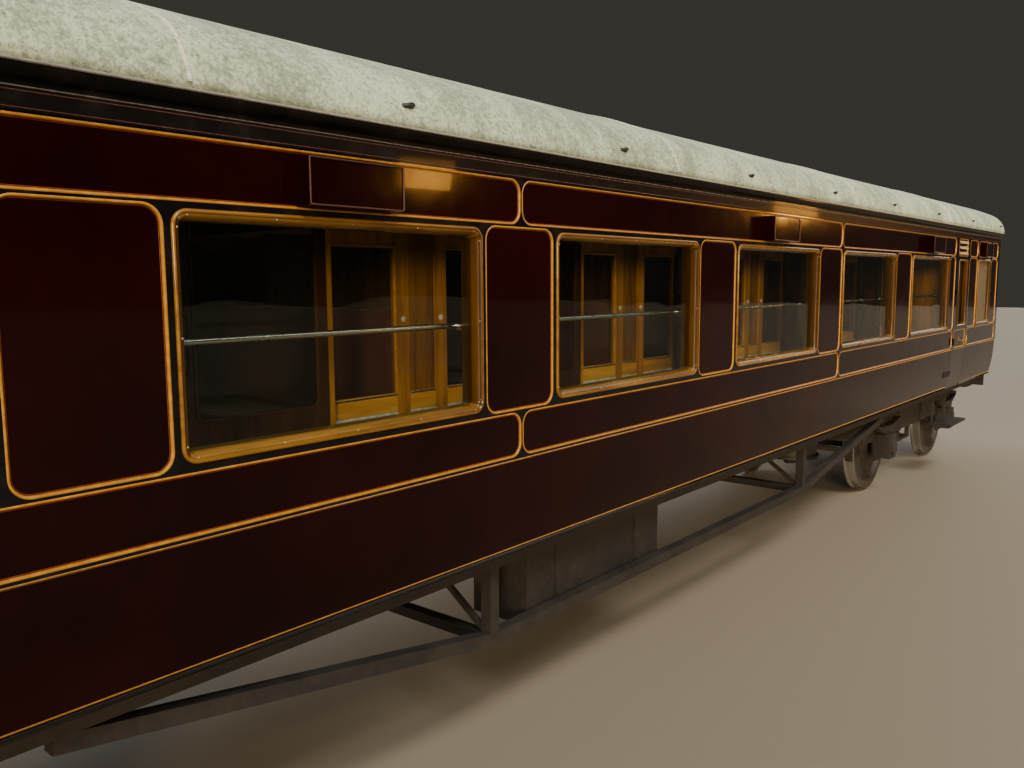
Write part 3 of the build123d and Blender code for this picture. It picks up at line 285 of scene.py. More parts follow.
def partition_wood(name):
    """Golden wood, with the sunk panel between the two pilasters of each wall painted darker as shade, and
    thin painted shadow lines at its edges.
    """
    shader = Shader(name, Specular_IOR_Level=0.25)
    x, y, z = shader.axes()
    from_wall = ((x * (1 / pitch) + 100.5).part() - 0.5).absolute() * pitch
    # Painted shade: the sunk panel is darker, and a thin painted shadow line runs along its edges.
    sunk = 1.0 - from_wall.step(98 * MM, 103 * MM)
    painted_shadow_line = sunk * from_wall.step(92 * MM, 96 * MM)
    colour, fine = wood_colour(shader, *golden)
    panel, _ = wood_colour(shader, rgb(0.36, 0.150, 0.018), rgb(0.17, 0.062, 0.007))
    return oiled(shader, shader.mix(painted_shadow_line, shader.mix(sunk, colour, panel), rgb(0.06, 0.022, 0.004)), fine)


golden = (rgb(0.62, 0.27, 0.034), rgb(0.36, 0.140, 0.014))
golden_upright = wood("golden_upright", *golden)
golden_long = wood("golden_long", *golden, along_axis=0)
partition_wood_painted_shade = partition_wood("partition_wood_painted_shade")
door_wood = sliding_door_wood("door_wood")
brown_upright = wood("brown_upright", rgb(0.20, 0.075, 0.020), rgb(0.085, 0.028, 0.008))
print("wood ready")

# %% [markdown]
# ## Painted panels
# The real side is rubbed down and varnished over many coats, so it is almost a mirror, and the mirror is a
# little wavy because thin panels are pinned to a wooden frame. A low, slow bump gives that wave. The same
# node also shows the inside of the wall, so the place across the coach decides between paint and wood. A door
# carries its crimson panel, black mouldings and slats painted golden as a highlight on one leaf, and its
# depth tells which is which.

# %% Paint on the sides
PAINT_BLACK = rgb(0.0045, 0.0038, 0.0038)
inner_wood = (rgb(0.26, 0.105, 0.028), rgb(0.12, 0.042, 0.011))


def painted_shader(name):
    """A new shader under thin varnish: little gloss from the paint itself, and a weak mirror over it."""
    return Shader(name, Specular_IOR_Level=0.08, Coat_IOR=1.30)


def crimson_of(shader):
    """Crimson in slow clouds."""
    cloudy = shader.noise(0.9, 4.0, 0.6).step(0.3, 0.75)
    return shader.mix(cloudy, rgb(0.0068, 0.0010, 0.0010), rgb(0.0140, 0.0016, 0.0013))


def panel_paint(name, ends=False):
    """Crimson outside, wood inside, told apart by the distance from the middle of the coach."""
    shader = painted_shader(name)
    x, y, z = shader.axes()
    if ends:
        outside = x.absolute().step(body_end - 30 * MM, body_end - 20 * MM)
    else:
        outside = y.absolute().step(room_half + 8 * MM, room_half + 14 * MM)
    low_down = 1.0 - z.step(body_bottom, body_bottom + 100 * MM)
    dusty = shader.noise(5.0, 6.0, 0.65).step(0.50, 0.85) * low_down * 0.3
    crimson = shader.mix(dusty, crimson_of(shader), rgb(0.020, 0.012, 0.009))
    timber, _ = wood_colour(shader, *inner_wood)
    height = shader.noise(2.6, 2.0, 0.45, (1.0, 1.0, 0.8)) + shader.noise(55.0, 2.0, 0.5) * 0.012
    return shader.finish(Base_Color=shader.mix(outside, timber, crimson),
                         Roughness=0.22 - outside * 0.10 + dusty * 0.3, Coat_Weight=0.29 - dusty * 0.26,
                         Coat_Roughness=0.03, Normal=shader.bump(height, 0.004))


def black_paint(name, roughness, coat):
    """Black gloss with a faint cloud of dust."""
    shader = painted_shader(name)
    dust = shader.noise(7.0, 6.0, 0.65).step(0.45, 0.85)
    height = shader.noise(3.0, 2.0, 0.5) + shader.noise(60.0, 2.0, 0.5) * 0.02
    return shader.finish(Base_Color=shader.mix(dust * 0.12, PAINT_BLACK, rgb(0.09, 0.075, 0.06)),
                         Roughness=dust * 0.12 + roughness, Coat_Weight=coat - dust * (coat * 0.2),
                         Coat_Roughness=0.05, Normal=shader.bump(height, 0.0025))


def door_paint(name):
    """Crimson in the sunk panels, black on the raised face, slats painted golden as a highlight, wood on the
    room side.
    """
    shader = painted_shader(name)
    x, y, z = shader.axes()
    far = y.absolute()
    outside = far.step(room_half + 8 * MM, room_half + 14 * MM)
    raised = far.step(panel_face + 5 * MM, panel_face + 7 * MM)
    from_door = (x.absolute() - door_x).absolute()
    slats = far.step(moulding_face - 6 * MM, moulding_face - 4 * MM)
    slats = slats * z.step(eaves_bottom + 4 * MM, eaves_bottom + 6 * MM)
    slats = slats * (1.0 - z.step(eaves_top - 6 * MM, eaves_top - 4 * MM))
    slats = slats * (1.0 - from_door.step(217 * MM, 219 * MM))
    painted = shader.mix(raised, crimson_of(shader), PAINT_BLACK)
    # Painted highlight: the slats are coloured golden, with almost no coat.
    painted = shader.mix(slats, painted, rgb(0.40, 0.19, 0.022))
    timber, _ = wood_colour(shader, *golden)
    height = shader.noise(2.6, 2.0, 0.45) + shader.noise(55.0, 2.0, 0.5) * 0.012
    return shader.finish(Base_Color=shader.mix(outside, timber, painted),
                         Roughness=0.22 - outside * 0.10 + slats * 0.30, Coat_Weight=0.45 - slats * 0.42,
                         Coat_Roughness=0.03, Normal=shader.bump(height, 0.003))


side_paint = panel_paint("side_paint")
end_paint = panel_paint("end_paint", ends=True)
door_finish = door_paint("door_finish")
moulding_black = black_paint("moulding_black", roughness=0.14, coat=0.6)
cornice_black = black_paint("cornice_black", roughness=0.36, coat=0.10)
print("paint ready")

# %% [markdown]
# ## Roof canvas
# Roofs of this age are boards under stretched canvas, bedded in thick lead paint. Soot and rain leave it
# mottled, and the cloth keeps shallow wrinkles. The mottling is several noises of different size, and the
# darkest one runs down the slope as the rain does.


# %% Canvas and ceiling
def canvas_paint(name, pale, dark, stain):
    """Painted cloth: three sizes of mottling, fine spots of soot and streaks of rain."""
    shader = Shader(name)
    broad = shader.noise(1.7, 6.0, 0.62, (1.0, 0.8, 0.8), distortion=0.4)
    middle = shader.noise(7.0, 7.0, 0.68, (1.0, 0.5, 0.5), distortion=0.3)
    fine = shader.noise(42.0, 6.0, 0.78)
    streaks = shader.noise(3.2, 5.0, 0.7, (4.0, 0.35, 0.35))
    speckle = shader.noise(70.0, 4.0, 0.8, (1.0, 0.8, 0.8)).step(0.52, 0.62)
    mottled = (broad * 0.26 + middle * 0.28 + fine * 0.46).step(0.44, 0.56)
    colour = shader.mix(mottled, dark, pale)
    colour = shader.mix(speckle * 0.62, colour, stain)
    colour = shader.mix(streaks.step(0.52, 0.78) * 0.30, colour, stain)
    height = fine * 0.45 + shader.noise(220.0, 2.0, 0.6) * 0.12 + middle * 0.5
    return shader.finish(Base_Color=colour, Roughness=0.88, Normal=shader.bump(height, 0.006, 0.7))


def roof_paint(name):
    """Boards under the canvas outside, cream ceiling inside, black at the two ends."""
    shader = Shader(name)
    x, y, z = shader.axes()
    above = z - (cantrail_top + roof_rise - crown_radius)
    distance = (above * above + y * y).power(0.5)
    outside = distance.step(crown_radius - 28 * MM, crown_radius - 22 * MM)
    outside = outside.most(y.absolute().step(1285 * MM, 1290 * MM))
    ends = x.absolute().step(body_end - 4 * MM, body_end - 2 * MM)
    tone = shader.noise(12.0, 5.0, 0.6)
    ceiling = shader.mix(tone.step(0.3, 0.8), rgb(0.52, 0.46, 0.34), rgb(0.64, 0.58, 0.46))
    canvas = shader.mix(tone.step(0.35, 0.7), rgb(0.07, 0.07, 0.06), rgb(0.16, 0.16, 0.135))
    colour = shader.mix(ends, shader.mix(outside, ceiling, canvas), PAINT_BLACK)
    return shader.finish(Base_Color=colour, Roughness=0.55, Normal=shader.bump(tone, 0.001))


roof_canvas = canvas_paint("roof_canvas", rgb(0.51, 0.60, 0.455), rgb(0.255, 0.305, 0.225),
                           rgb(0.100, 0.118, 0.084))
seam_canvas = canvas_paint("seam_canvas", rgb(0.72, 0.73, 0.60), rgb(0.50, 0.51, 0.41), rgb(0.28, 0.28, 0.22))
roof_boards = roof_paint("roof_boards")
print("canvas ready")

# %% [markdown]
# ## Glass
# A pane is mostly see-through, and a mirror at a grazing look. A mix of a transparent and a mirror surface
# does that, with the fifth power of the look's angle as its factor. The end panes on the corridor side are
# frosted: there the mirror turns to a milky colour that hides what is behind.

# %% Panes
frosted_from = 7.4


def clear_glass(name, frosted=False):
    """Old plate glass, wavy and a little smeared."""
    shader = Shader(name)
    smear = shader.noise(5.0, 5.0, 0.7).step(0.5, 0.95)
    facing = Flow(shader, shader.add("ShaderNodeLayerWeight", None, {"Blend": 0.5}).outputs["Facing"])
    mirror = facing.power(5.0) * 0.72 + 0.019 + smear * 0.008
    tint = rgb(0.92, 0.95, 0.93)
    if frosted:
        x, y, z = shader.axes()
        milky = x.absolute().step(frosted_from, frosted_from + 0.1) * (0.0 - y).step(1.0, 1.1)
        cloud = shader.noise(14.0, 5.0, 0.6).step(0.2, 0.8)
        frost = shader.mix(cloud, rgb(0.105, 0.085, 0.048), rgb(0.160, 0.132, 0.078))
        shader.finish(Base_Color=shader.mix(milky, tint, frost), Metallic=1.0 - milky,
                      Roughness=milky * 0.45 + 0.012)
        mirror = mirror.most(milky * 0.93)
    else:
        shader.finish(Base_Color=tint, Metallic=1.0, Roughness=0.012)
    shader.finish(Normal=shader.bump(shader.noise(1.7, 1.0, 0.4), 0.004))
    through = shader.add("ShaderNodeBsdfTransparent", None, {0: rgb(0.80, 0.83, 0.79)}).outputs[0]
    joined = shader.add("ShaderNodeMixShader", None, {0: mirror, 1: through, 2: shader.surface.outputs[0]})
    shader.plug(shader.tree.nodes["Material Output"].inputs["Surface"], joined.outputs[0])
    return shader.material


window_pane = clear_glass("window_pane", frosted=True)
door_pane = clear_glass("door_pane")
print("glass ready")

# %% [markdown]
# ## Metal and cloth
# Below the floor everything is black once and brown with brake dust later, most of all on upward faces and
# low down. Steel that works, such as a wheel's tread or a buffer's face, is bright from use, and the place on
# the object tells the worked face from the dusty black behind it.


# %% Finishes of metal
def sooty(name, base, dust_colour, amount, roughness):
    """Old black paint under brake dust."""
    shader = Shader(name)
    broad = shader.noise(2.4, 6.0, 0.65).step(0.35, 0.75)
    fine = shader.noise(26.0, 6.0, 0.7).step(0.35, 0.8)
    dust = broad * 0.6 + fine * 0.4
    return shader.finish(Base_Color=shader.mix(dust * amount, base, dust_colour),
                         Roughness=dust * 0.25 + roughness, Normal=shader.bump(fine + broad, 0.0012))


def bright(name, colour, dull, roughness):
    """Worked metal with fine scratches and duller patches."""
    shader = Shader(name)
    scratch = shader.noise(40.0, 5.0, 0.7, (1.0, 1.0, 6.0))
    patch = shader.noise(6.0, 5.0, 0.6).step(0.4, 0.8)
    return shader.finish(Base_Color=shader.mix(patch * 0.7, colour, dull), Metallic=1.0,
                         Roughness=patch * 0.18 + scratch * 0.12 + roughness,
                         Normal=shader.bump(scratch, 0.0003))


def buffer_paint(name):
    """Worn steel on the buffing face, told apart by the distance along the coach."""
    shader = Shader(name)
    x, y, z = shader.axes()
    face = x.absolute().step(body_end + 455 * MM, body_end + 461 * MM)
    wear = shader.noise(14.0, 6.0, 0.7).step(0.3, 0.8)
    black = shader.mix(wear * 0.6, rgb(0.014, 0.012, 0.011), rgb(0.075, 0.055, 0.038))
    worn = shader.mix(wear * 0.7, rgb(0.20, 0.20, 0.195), rgb(0.10, 0.09, 0.08))
    return shader.finish(Base_Color=shader.mix(face, black, worn), Metallic=face * 0.85,
                         Roughness=wear * 0.2 + 0.42, Normal=shader.bump(wear, 0.0008))


wheel_radius = 1105 * MM / 2


def wheel_paint(name, centre_x):
    """Steel tread and flange, black centre, dusty face: told apart by the distance from the axle."""
    shader = Shader(name)
    x, y, z = shader.axes()
    across = x - centre_x
    height = z - (rail_top + wheel_radius)
    radius = (across * across + height * height).power(0.5)
    tread = radius.step(wheel_radius - 4.5 * MM, wheel_radius - 2.5 * MM)
    grime = shader.noise(9.0, 6.0, 0.7).step(0.35, 0.75)
    face = shader.mix(grime * 0.75, rgb(0.018, 0.015, 0.013), rgb(0.070, 0.050, 0.035))
    steel = shader.mix(grime * 0.5, rgb(0.50, 0.49, 0.47), rgb(0.22, 0.20, 0.18))
    return shader.finish(Base_Color=shader.mix(tread, face, steel), Metallic=tread * 0.95,
                         Roughness=0.62 - tread * 0.36 + grime * 0.1, Normal=shader.bump(grime, 0.0012))


underframe_black = sooty("underframe_black", rgb(0.011, 0.010, 0.0095), rgb(0.052, 0.040, 0.029), 0.45, 0.55)
bogie_black = sooty("bogie_black", rgb(0.012, 0.011, 0.010), rgb(0.066, 0.048, 0.033), 0.6, 0.6)
spring_black = sooty("spring_black", rgb(0.010, 0.010, 0.010), rgb(0.054, 0.040, 0.029), 0.6, 0.5)
brass = bright("brass", rgb(0.80, 0.52, 0.17), rgb(0.46, 0.29, 0.10), 0.22)
rail_steel = bright("rail_steel", rgb(0.74, 0.76, 0.78), rgb(0.55, 0.56, 0.58), 0.12)
screw_steel = bright("screw_steel", rgb(0.60, 0.52, 0.36), rgb(0.35, 0.28, 0.18), 0.25)
buffer_steel = buffer_paint("buffer_steel")
print("metal ready")

# %% [markdown]
# ## Cloth
# The gangway bellows are folded canvas, the seats are plush with a small woven figure, and the floor is
# covered with linoleum on its upper side only.


# %% Finishes of cloth
def gangway_paint(name):
    """Folded canvas, black below and dark red leather cloth above."""
    shader = Shader(name)
    x, y, z = shader.axes()
    upper = z.step(rail_top + 2370 * MM, rail_top + 2380 * MM)
    crease = shader.noise(16.0, 6.0, 0.7)
    dust = crease.step(0.4, 0.75)
    lower = shader.mix(dust, rgb(0.030, 0.030, 0.028), rgb(0.085, 0.083, 0.075))
    red = shader.mix(dust, rgb(0.085, 0.010, 0.008), rgb(0.15, 0.028, 0.020))
    return shader.finish(Base_Color=shader.mix(upper, lower, red), Roughness=0.72,
                         Normal=shader.bump(crease, 0.004))


def plush(name, pale, dark):
    """Upholstery cloth: a short pile that lies in clouds and shows a small woven figure."""
    shader = Shader(name)
    lie = shader.noise(5.0, 4.0, 0.6).step(0.3, 0.7)
    figure = shader.cells(22.0).step(0.20, 0.28)
    colour = shader.mix(lie * 0.6 + figure * 0.4, dark, pale)
    height = shader.noise(240.0, 2.0, 0.6) + figure * 0.4
    return shader.finish(Base_Color=colour, Roughness=0.9, Sheen_Weight=0.4,
                         Normal=shader.bump(height, 0.0015))


def floor_paint(name):
    """Brown linoleum on top, boards and soot below."""
    shader = Shader(name)
    x, y, z = shader.axes()
    top = z.step(floor_top - 4 * MM, floor_top - 2 * MM)
    speckle = shader.noise(130.0, 3.0, 0.6).step(0.4, 0.6)
    worn = shader.noise(3.0, 5.0, 0.6).step(0.4, 0.8)
    cloth = shader.mix(speckle * 0.5 + worn * 0.3, rgb(0.085, 0.040, 0.022), rgb(0.17, 0.10, 0.06))
    return shader.finish(Base_Color=shader.mix(top, rgb(0.030, 0.024, 0.018), cloth),
                         Roughness=worn * 0.15 + 0.45, Normal=shader.bump(speckle, 0.0005))


gangway_canvas = gangway_paint("gangway_canvas")
seat_plush = plush("seat_plush", rgb(0.22, 0.030, 0.025), rgb(0.10, 0.012, 0.012))
floor_cloth = floor_paint("floor_cloth")
print("cloth ready")

# %% [markdown]
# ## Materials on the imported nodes
# Each node keeps its mesh and only gets its finish. The table groups the nodes by what they are made of, so
# that one line says what a group looks like.

# %% Put the finishes on the nodes
finishes = [
    (side_paint, "side_corridor side_compartment cantrails hood_ventilators"),
    (end_paint, "end_walls"),
    (moulding_black, "mouldings_corridor mouldings_compartment gangway_faceplates"),
    (cornice_black, "cornices"),
    (roof_boards, "roof"),
    (window_pane, "window_glass"),
    (partition_wood_painted_shade, "corridor_partition"),
    (golden_upright, "lavatory_walls lavatory_door_left lavatory_door_right"),
    (door_wood, " ".join(f"sliding_door_{k}" for k in range(1, 7))),
    (golden_long, "partition_header window_frames"),
    (brown_upright, "cross_partitions seat_frames"),
    (floor_cloth, "floor"),
    (seat_plush, "seat_cushions"),
    (brass, "luggage_racks"),
    (rail_steel, "window_rails"),
    (buffer_steel, "buffers"),
    (gangway_canvas, "gangway_bellows"),
    (underframe_black, "solebars headstocks cross_members trussing battery_boxes vacuum_cylinders dynamo"),
    (underframe_black, "footboards drawgear"),
]
for end in ends:
    finishes.append((bogie_black, f"bogie_frame_{end} bolster_{end} axleboxes_{end}"))
    finishes.append((spring_black, f"springs_{end}"))
    for side in sides:
        finishes.append((door_finish, f"door_{side}_{end}"))
        finishes.append((door_pane, f"door_glass_{side}_{end}"))
for number in range(1, 5):
    low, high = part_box(f"wheelset_{number}")
    finishes.append((wheel_paint(f"wheel_paint_{number}", (low.x + high.x) / 2), f"wheelset_{number}"))

for finish, names in finishes:
    for name in names.split():
        mesh = nodes[name].data
        mesh.materials.clear()
        mesh.materials.append(finish)
print("dressed", len(nodes), "nodes")

# %% [markdown]
# ## Meshes from arrays
# Every new piece is a surface worked out with numpy: points on a grid of two parameters, such as the place
# along a path and the place along a profile. Neighbouring points make four-sided faces. Arrays are quicker
# than loops, and the shape stays readable as a formula.


# %% Grids of points
class Patch:
    """Grids of points that will become one mesh."""

    def __init__(self):
        self.points, self.faces, self.marks, self.count = [], [], [], 0

    def add(self, points, faces, marks):
        """Add points and the faces between them, as lists of corner numbers."""
        self.points.append(points)
        self.faces += [[corner + self.count for corner in face] for face in faces]
        self.marks.append(marks)
        self.count += len(points)
        return self

    def grid(self, points, closed=False, caps=False, mark=0.0, side=-1):
        """Add a grid whose columns close into a tube. Its rows close too if closed, and caps shut both ends.

        The rows are turned round on the far side of the coach, so that the faces look outwards there too."""
        rows, columns = points.shape[:2]
        mark = np.broadcast_to(np.reshape(mark, (-1, 1)).astype(float), (rows, columns))
        if side > 0:
            points, mark = points[::-1], mark[::-1]
        row, column = np.meshgrid(np.arange(rows - (not closed)), np.arange(columns), indexing="ij")
        row, column = row.ravel(), column.ravel()
        next_row, next_column = (row + 1) % rows * columns, (column + 1) % columns
        row = row * columns
        corners = [row + column, next_row + column, next_row + next_column, row + next_column]
        faces = np.column_stack(corners).tolist()
        if caps:
            first = np.arange(columns)
            faces += [first[::-1].tolist(), (first + (rows - 1) * columns).tolist()]
        return self.add(points.reshape(-1, 3), faces, mark.ravel())

    def piece(self, name, material, slot, body="coach_body", sharp=None, smooth=True, replaces=()):
        """Make the mesh, give it its material and let it ride on a body."""
        mesh = bpy.data.meshes.new(name)
        mesh.from_pydata(np.concatenate(self.points).tolist(), [], self.faces)
        mesh.attributes.new("mark", "FLOAT", "POINT").data.foreach_set("value", np.concatenate(self.marks))
        mesh.update()
        mesh.polygons.foreach_set("use_smooth", np.full(len(mesh.polygons), smooth))
        if sharp is not None:
            mesh.set_sharp_from_angle(angle=math.radians(sharp))
        mesh.materials.append(material)
        thing = bpy.data.objects.new(name, mesh)
        scene.collection.objects.link(thing)
        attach(thing, body)
        if replaces:
            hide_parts(*replaces)
        print(name, len(mesh.polygons), "faces")
        return thing


print("grids ready")

# %% [markdown]
# ## Profiles carried along paths
# Nearly all of the joinery is a small profile carried along something: along the whole coach, along a bent
# rail, round an axis or, first of all, round a rectangle with round corners. Profiles are in millimetres.


# %% A profile round a rectangle
def along(a, b, n):
    """n evenly spaced numbers from a to b."""
    return np.linspace(a, b, n)


def rounded_path(x_low, x_high, z_low, z_high, radius, steps=8):
    """Points and outward directions round a rectangle with round corners, drawn in x and z."""
    centres = [(x_high - radius, z_high - radius), (x_low + radius, z_high - radius),
               (x_low + radius, z_low + radius), (x_high - radius, z_low + radius)]
    quarter = np.arange(4)[:, None]
    angle = (quarter + along(0, 1, steps + 1)) * math.pi / 2
    outs = np.stack([np.cos(angle), np.sin(angle)], -1)
    points = np.array(centres)[:, None] + radius * outs
    return points.reshape(-1, 2), outs.reshape(-1, 2)


def framed(patch, side, x_low, x_high, z_low, z_high, corner, profile, face=panel_face, steps=8):
    """Carry a profile round a rectangle on a side. Its pairs say how far out from the edge and how proud.

    The mark is 1 on the uprights, so that wood can turn its grain there, and so that the window wood can
    paint them darker as shade."""
    path, outs = rounded_path(x_low, x_high, z_low, z_high, corner, steps)
    out, proud = np.array(profile, float).T * MM
    xz = path[:, None] + outs[:, None] * out[:, None]
    y = side * (face + np.broadcast_to(proud, xz.shape[:2]))
    upright = np.abs(outs[:, 0]) > 0.72
    patch.grid(np.stack([xz[..., 0], y, xz[..., 1]], -1), closed=True, side=side, mark=upright)


print("profiles ready")

# %% [markdown]
# ## Gold and vermilion
# The gold lines are leaf under varnish, so they are bright from any side: a colour first and a metal second.
# What is narrow needs little pattern: one noise between a colour and a darker one is enough.


# %% Finishes of the lines
def line_paint(name, colour, dark, metallic=0.0):
    """A painted or gilded line, worn in places."""
    shader = Shader(name)
    worn = shader.noise(30.0, 4.0, 0.6).step(0.35, 0.8)
    return shader.finish(Base_Color=shader.mix(worn, dark, colour), Metallic=metallic,
                         Roughness=worn * -0.1 + 0.42, Coat_Weight=0.3, Coat_Roughness=0.06)


gold_leaf = line_paint("gold_leaf", rgb(0.54, 0.262, 0.020), rgb(0.36, 0.155, 0.011), 0.12)
vermilion = line_paint("vermilion", rgb(0.30, 0.036, 0.008), rgb(0.18, 0.020, 0.005))
cornice_red = line_paint("cornice_red", rgb(0.10, 0.013, 0.005), rgb(0.05, 0.007, 0.003))
print("lines ready")

# %% [markdown]
# ## Gold lines round every panel
# The black mouldings stand proud of the crimson panels, and their rounded edge is gilded, with a fine
# vermilion line on the panel beside it. Both are strips carried round each panel's outline: a closed profile
# in two numbers, how far out from the edge and how far proud of the panel, swept along a rounded rectangle.


# %% Panel rows and their lines
def mirrored(spans):
    """Spans of x, and the same on the other half of the coach."""
    return spans + [(-high, -low) for low, high in spans]


PANEL_CORNER = 65 * MM
half_joint = 13 * MM
eaves_joints = [-2186 * MM, 2453 * MM]
upright_width = 38.5 * MM
long_end = door_x - door_width / 2 - 36 * MM
end_panel = (7313 * MM, 7750 * MM)
corner_panel = (8621 * MM, 9009 * MM)
light_half = (pitch - window_width) / 2 - upright_width
end_light_half = (end_light_width - upright_width) / 2
end_light_eaves = (end_light_x - end_light_half, end_light_x + end_light_half)
narrow_panel = (window_places[-1] + window_width / 2 + upright_width, long_end)
long_spans = list(zip([-long_end] + [x + half_joint for x in eaves_joints],
                      [x - half_joint for x in eaves_joints] + [long_end]))
eaves_spans = long_spans + mirrored([end_panel, end_light_eaves, corner_panel])
waist_spans = long_spans + mirrored([(end_panel[0], corner_panel[1])])
light_spans = [(x - light_half, x + light_half) for x in walls[1:-1]]
light_spans += mirrored([narrow_panel, end_panel, corner_panel])
panel_rows = [(a, b, eaves_bottom, eaves_top) for a, b in eaves_spans]
panel_rows += [(a, b, waist_bottom, waist_top) for a, b in waist_spans]
panel_rows += [(a, b, light_bottom, light_top) for a, b in light_spans]

GOLD_PROFILE = [(-3.4, 0.3), (-2.0, 2.6), (-1.0, 6.4), (0.8, 8.7), (4.0, 9.2), (7.6, 8.8), (8.4, 7.6),
                (2.0, 6.4)]
RED_PROFILE = [(-6.6, 0.35), (-4.4, 0.35), (-4.4, -1.0), (-6.6, -1.0)]
for side_name, side in sides.items():
    gold, red = Patch(), Patch()
    for row in panel_rows:
        framed(gold, side, *row, PANEL_CORNER, GOLD_PROFILE)
        framed(red, side, *row, PANEL_CORNER, RED_PROFILE)
    gold.piece(f"gold_lines_{side_name}", gold_leaf, "bright_metal")
    red.piece(f"red_lines_{side_name}", vermilion, "moulding_paint")

# %% [markdown]
# ## Long lines under the waist and at the foot
# Two more gold lines run the whole length: one on the lower edge of the waist moulding, and one just over the
# half-round bead at the foot of the side. They stop at each doorway, because the doors carry their own. A
# straight bar needs only its section at its two ends, and a bead's section is half an ellipse.


# %% Long edge lines
def bars(patch, side, spans, section):
    """Straight bars along the coach, one for each span of x, with a closed section in y and z."""
    for low, high in spans:
        ends_x = np.broadcast_to([[low], [high]], (2, len(section)))
        y, z = np.broadcast_to(section.T[:, None], (2, 2, len(section)))
        patch.grid(np.stack([ends_x, side * y, z], -1), caps=True, side=side)


def half_round(y, z, width, height):
    """The section of a half-round bead: a half ellipse whose flat side lies in the wall."""
    angle = along(-math.pi / 2, math.pi / 2, 9)
    return np.column_stack([y + width * MM * np.cos(angle), z + height * MM * np.sin(angle)])


def edge_section(z):
    """The section of a small round over the lower edge of the mouldings."""
    angle = along(-0.2 * math.pi, 0.9 * math.pi, 7)
    y = moulding_face + (5.0 * np.sin(angle) - 3.5) * MM
    return np.column_stack([y, z + (2.5 - 5.0 * np.cos(angle)) * MM])


doorway_inner = door_x - door_width / 2 - 6 * MM
doorway_outer = door_x + door_width / 2 + 6 * MM
wall_lengths = [(-body_end, -doorway_outer), (-doorway_inner, doorway_inner), (doorway_outer, body_end)]
foot_face = panel_face - tumblehome - 2 * MM
foot_line = body_bottom + 34 * MM
waist_red = half_round(panel_face - 0.8 * MM, moulding_bottom - 6 * MM, 1.3, 1.6)
foot_gold = half_round(side_face(foot_line) - 1 * MM, foot_line, 3.4, 4.0)
foot_black = half_round(foot_face, body_bottom + 14 * MM, 11, 12)
for side_name, side in sides.items():
    gold, red, black = Patch(), Patch(), Patch()
    bars(gold, side, wall_lengths, edge_section(moulding_bottom))
    bars(gold, side, wall_lengths, foot_gold)
    bars(red, side, wall_lengths, waist_red)
    bars(black, side, wall_lengths, foot_black)
    gold.piece(f"gold_edges_{side_name}", gold_leaf, "bright_metal")
    red.piece(f"red_edges_{side_name}", vermilion, "moulding_paint")
    black.piece(f"foot_bead_{side_name}", moulding_black, "moulding_paint")

# %% [markdown]
# ## Window frames
# Each light has a frame of pale varnished wood that laps over the mouldings: a round bead outside, a quirk
# beside it, then a broad slope down to the glass, and a flat architrave in the room. The whole section is one
# closed profile, carried once round each opening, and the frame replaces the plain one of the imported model.


# %% Window frames
def frame_wood(name):
    """Varnished wood whose grain turns with the bar of the frame that it is in. The uprights are painted
    darker as shade, and the level bars lighter as a painted highlight.
    """
    shader = Shader(name, Specular_IOR_Level=0.2, Coat_IOR=1.32)
    turn = shader.mark().step(0.4, 0.6)
    # Painted shade and highlight: the uprights are much darker than the level bars of the same wood.
    upright, pores = wood_colour(shader, rgb(0.074, 0.030, 0.0030), rgb(0.038, 0.0145, 0.0017))
    level, level_pores = wood_colour(shader, rgb(0.200, 0.104, 0.0170), rgb(0.105, 0.047, 0.0070), 0)
    fine = turn * pores + (1.0 - turn) * level_pores
    return oiled(shader, shader.mix(turn, level, upright), fine, 0.4, 0.04)


window_wood_painted_shade = frame_wood("window_wood_painted_shade")
frame_gold = wood("frame_gold", rgb(0.25, 0.118, 0.016), rgb(0.15, 0.062, 0.008), along_axis=0)
FRAME_PROFILE = [(3.5, 7.0), (4.0, 11.5), (1.5, 16.5), (-3.0, 18.0), (-8.0, 17.0), (-10.5, 13.5),
                 (-12.0, 12.0), (-13.5, 13.0), (-18.0, 12.5), (-24.0, 7.0), (-30.0, -4.0), (-34.0, -18.0),
                 (-36.0, -29.0), (-36.0, -93.0), (-30.0, -99.0), (-4.0, -103.0), (24.0, -103.0),
                 (30.0, -99.0), (30.0, -95.4), (-0.3, -95.4), (-0.3, 7.0)]
BEAD_PROFILE = [(4.6, 7.0), (5.0, 11.0), (3.2, 15.4), (0.0, 17.6), (-3.4, 18.9), (-5.6, 18.0), (-5.2, 14.0),
                (-1.0, 7.0)]
WINDOW_CORNER = 57 * MM
window_rows = [(x, window_width) for x in window_places]
window_rows += [(x, end_light_width) for x in (-end_light_x, end_light_x)]
frames, beads = Patch(), Patch()
for side in sides.values():
    for x, width in window_rows:
        opening = (x - width / 2, x + width / 2, window_bottom, window_top, WINDOW_CORNER)
        framed(frames, side, *opening, FRAME_PROFILE)
        framed(beads, side, *opening, BEAD_PROFILE)
frames.piece("window_frame_mouldings", window_wood_painted_shade, "golden_wood", sharp=40, replaces=["window_frames"])
beads.piece("window_frame_beads", frame_gold, "golden_wood", sharp=50)

# %% [markdown]
# ## Canvas over the roof
# The cloth is its own thin shell just above the boards. Its height is the roof's arch plus shallow wrinkles
# that run down the slope, and a step at each seam where one width of canvas laps over the next. The wrinkles
# are sums of sines with random phases, which is all a taut cloth needs.

# %% Canvas over the roof
joint_angle = math.asin((roof_half - roof_haunch) / (crown_radius - roof_haunch))
crown_length = crown_radius * joint_angle
arch_length = crown_length + roof_haunch * (math.pi / 2 - joint_angle)
seam_places = [-7.34, -4.0, -0.66, 2.68, 6.02]
rng = np.random.default_rng(7)


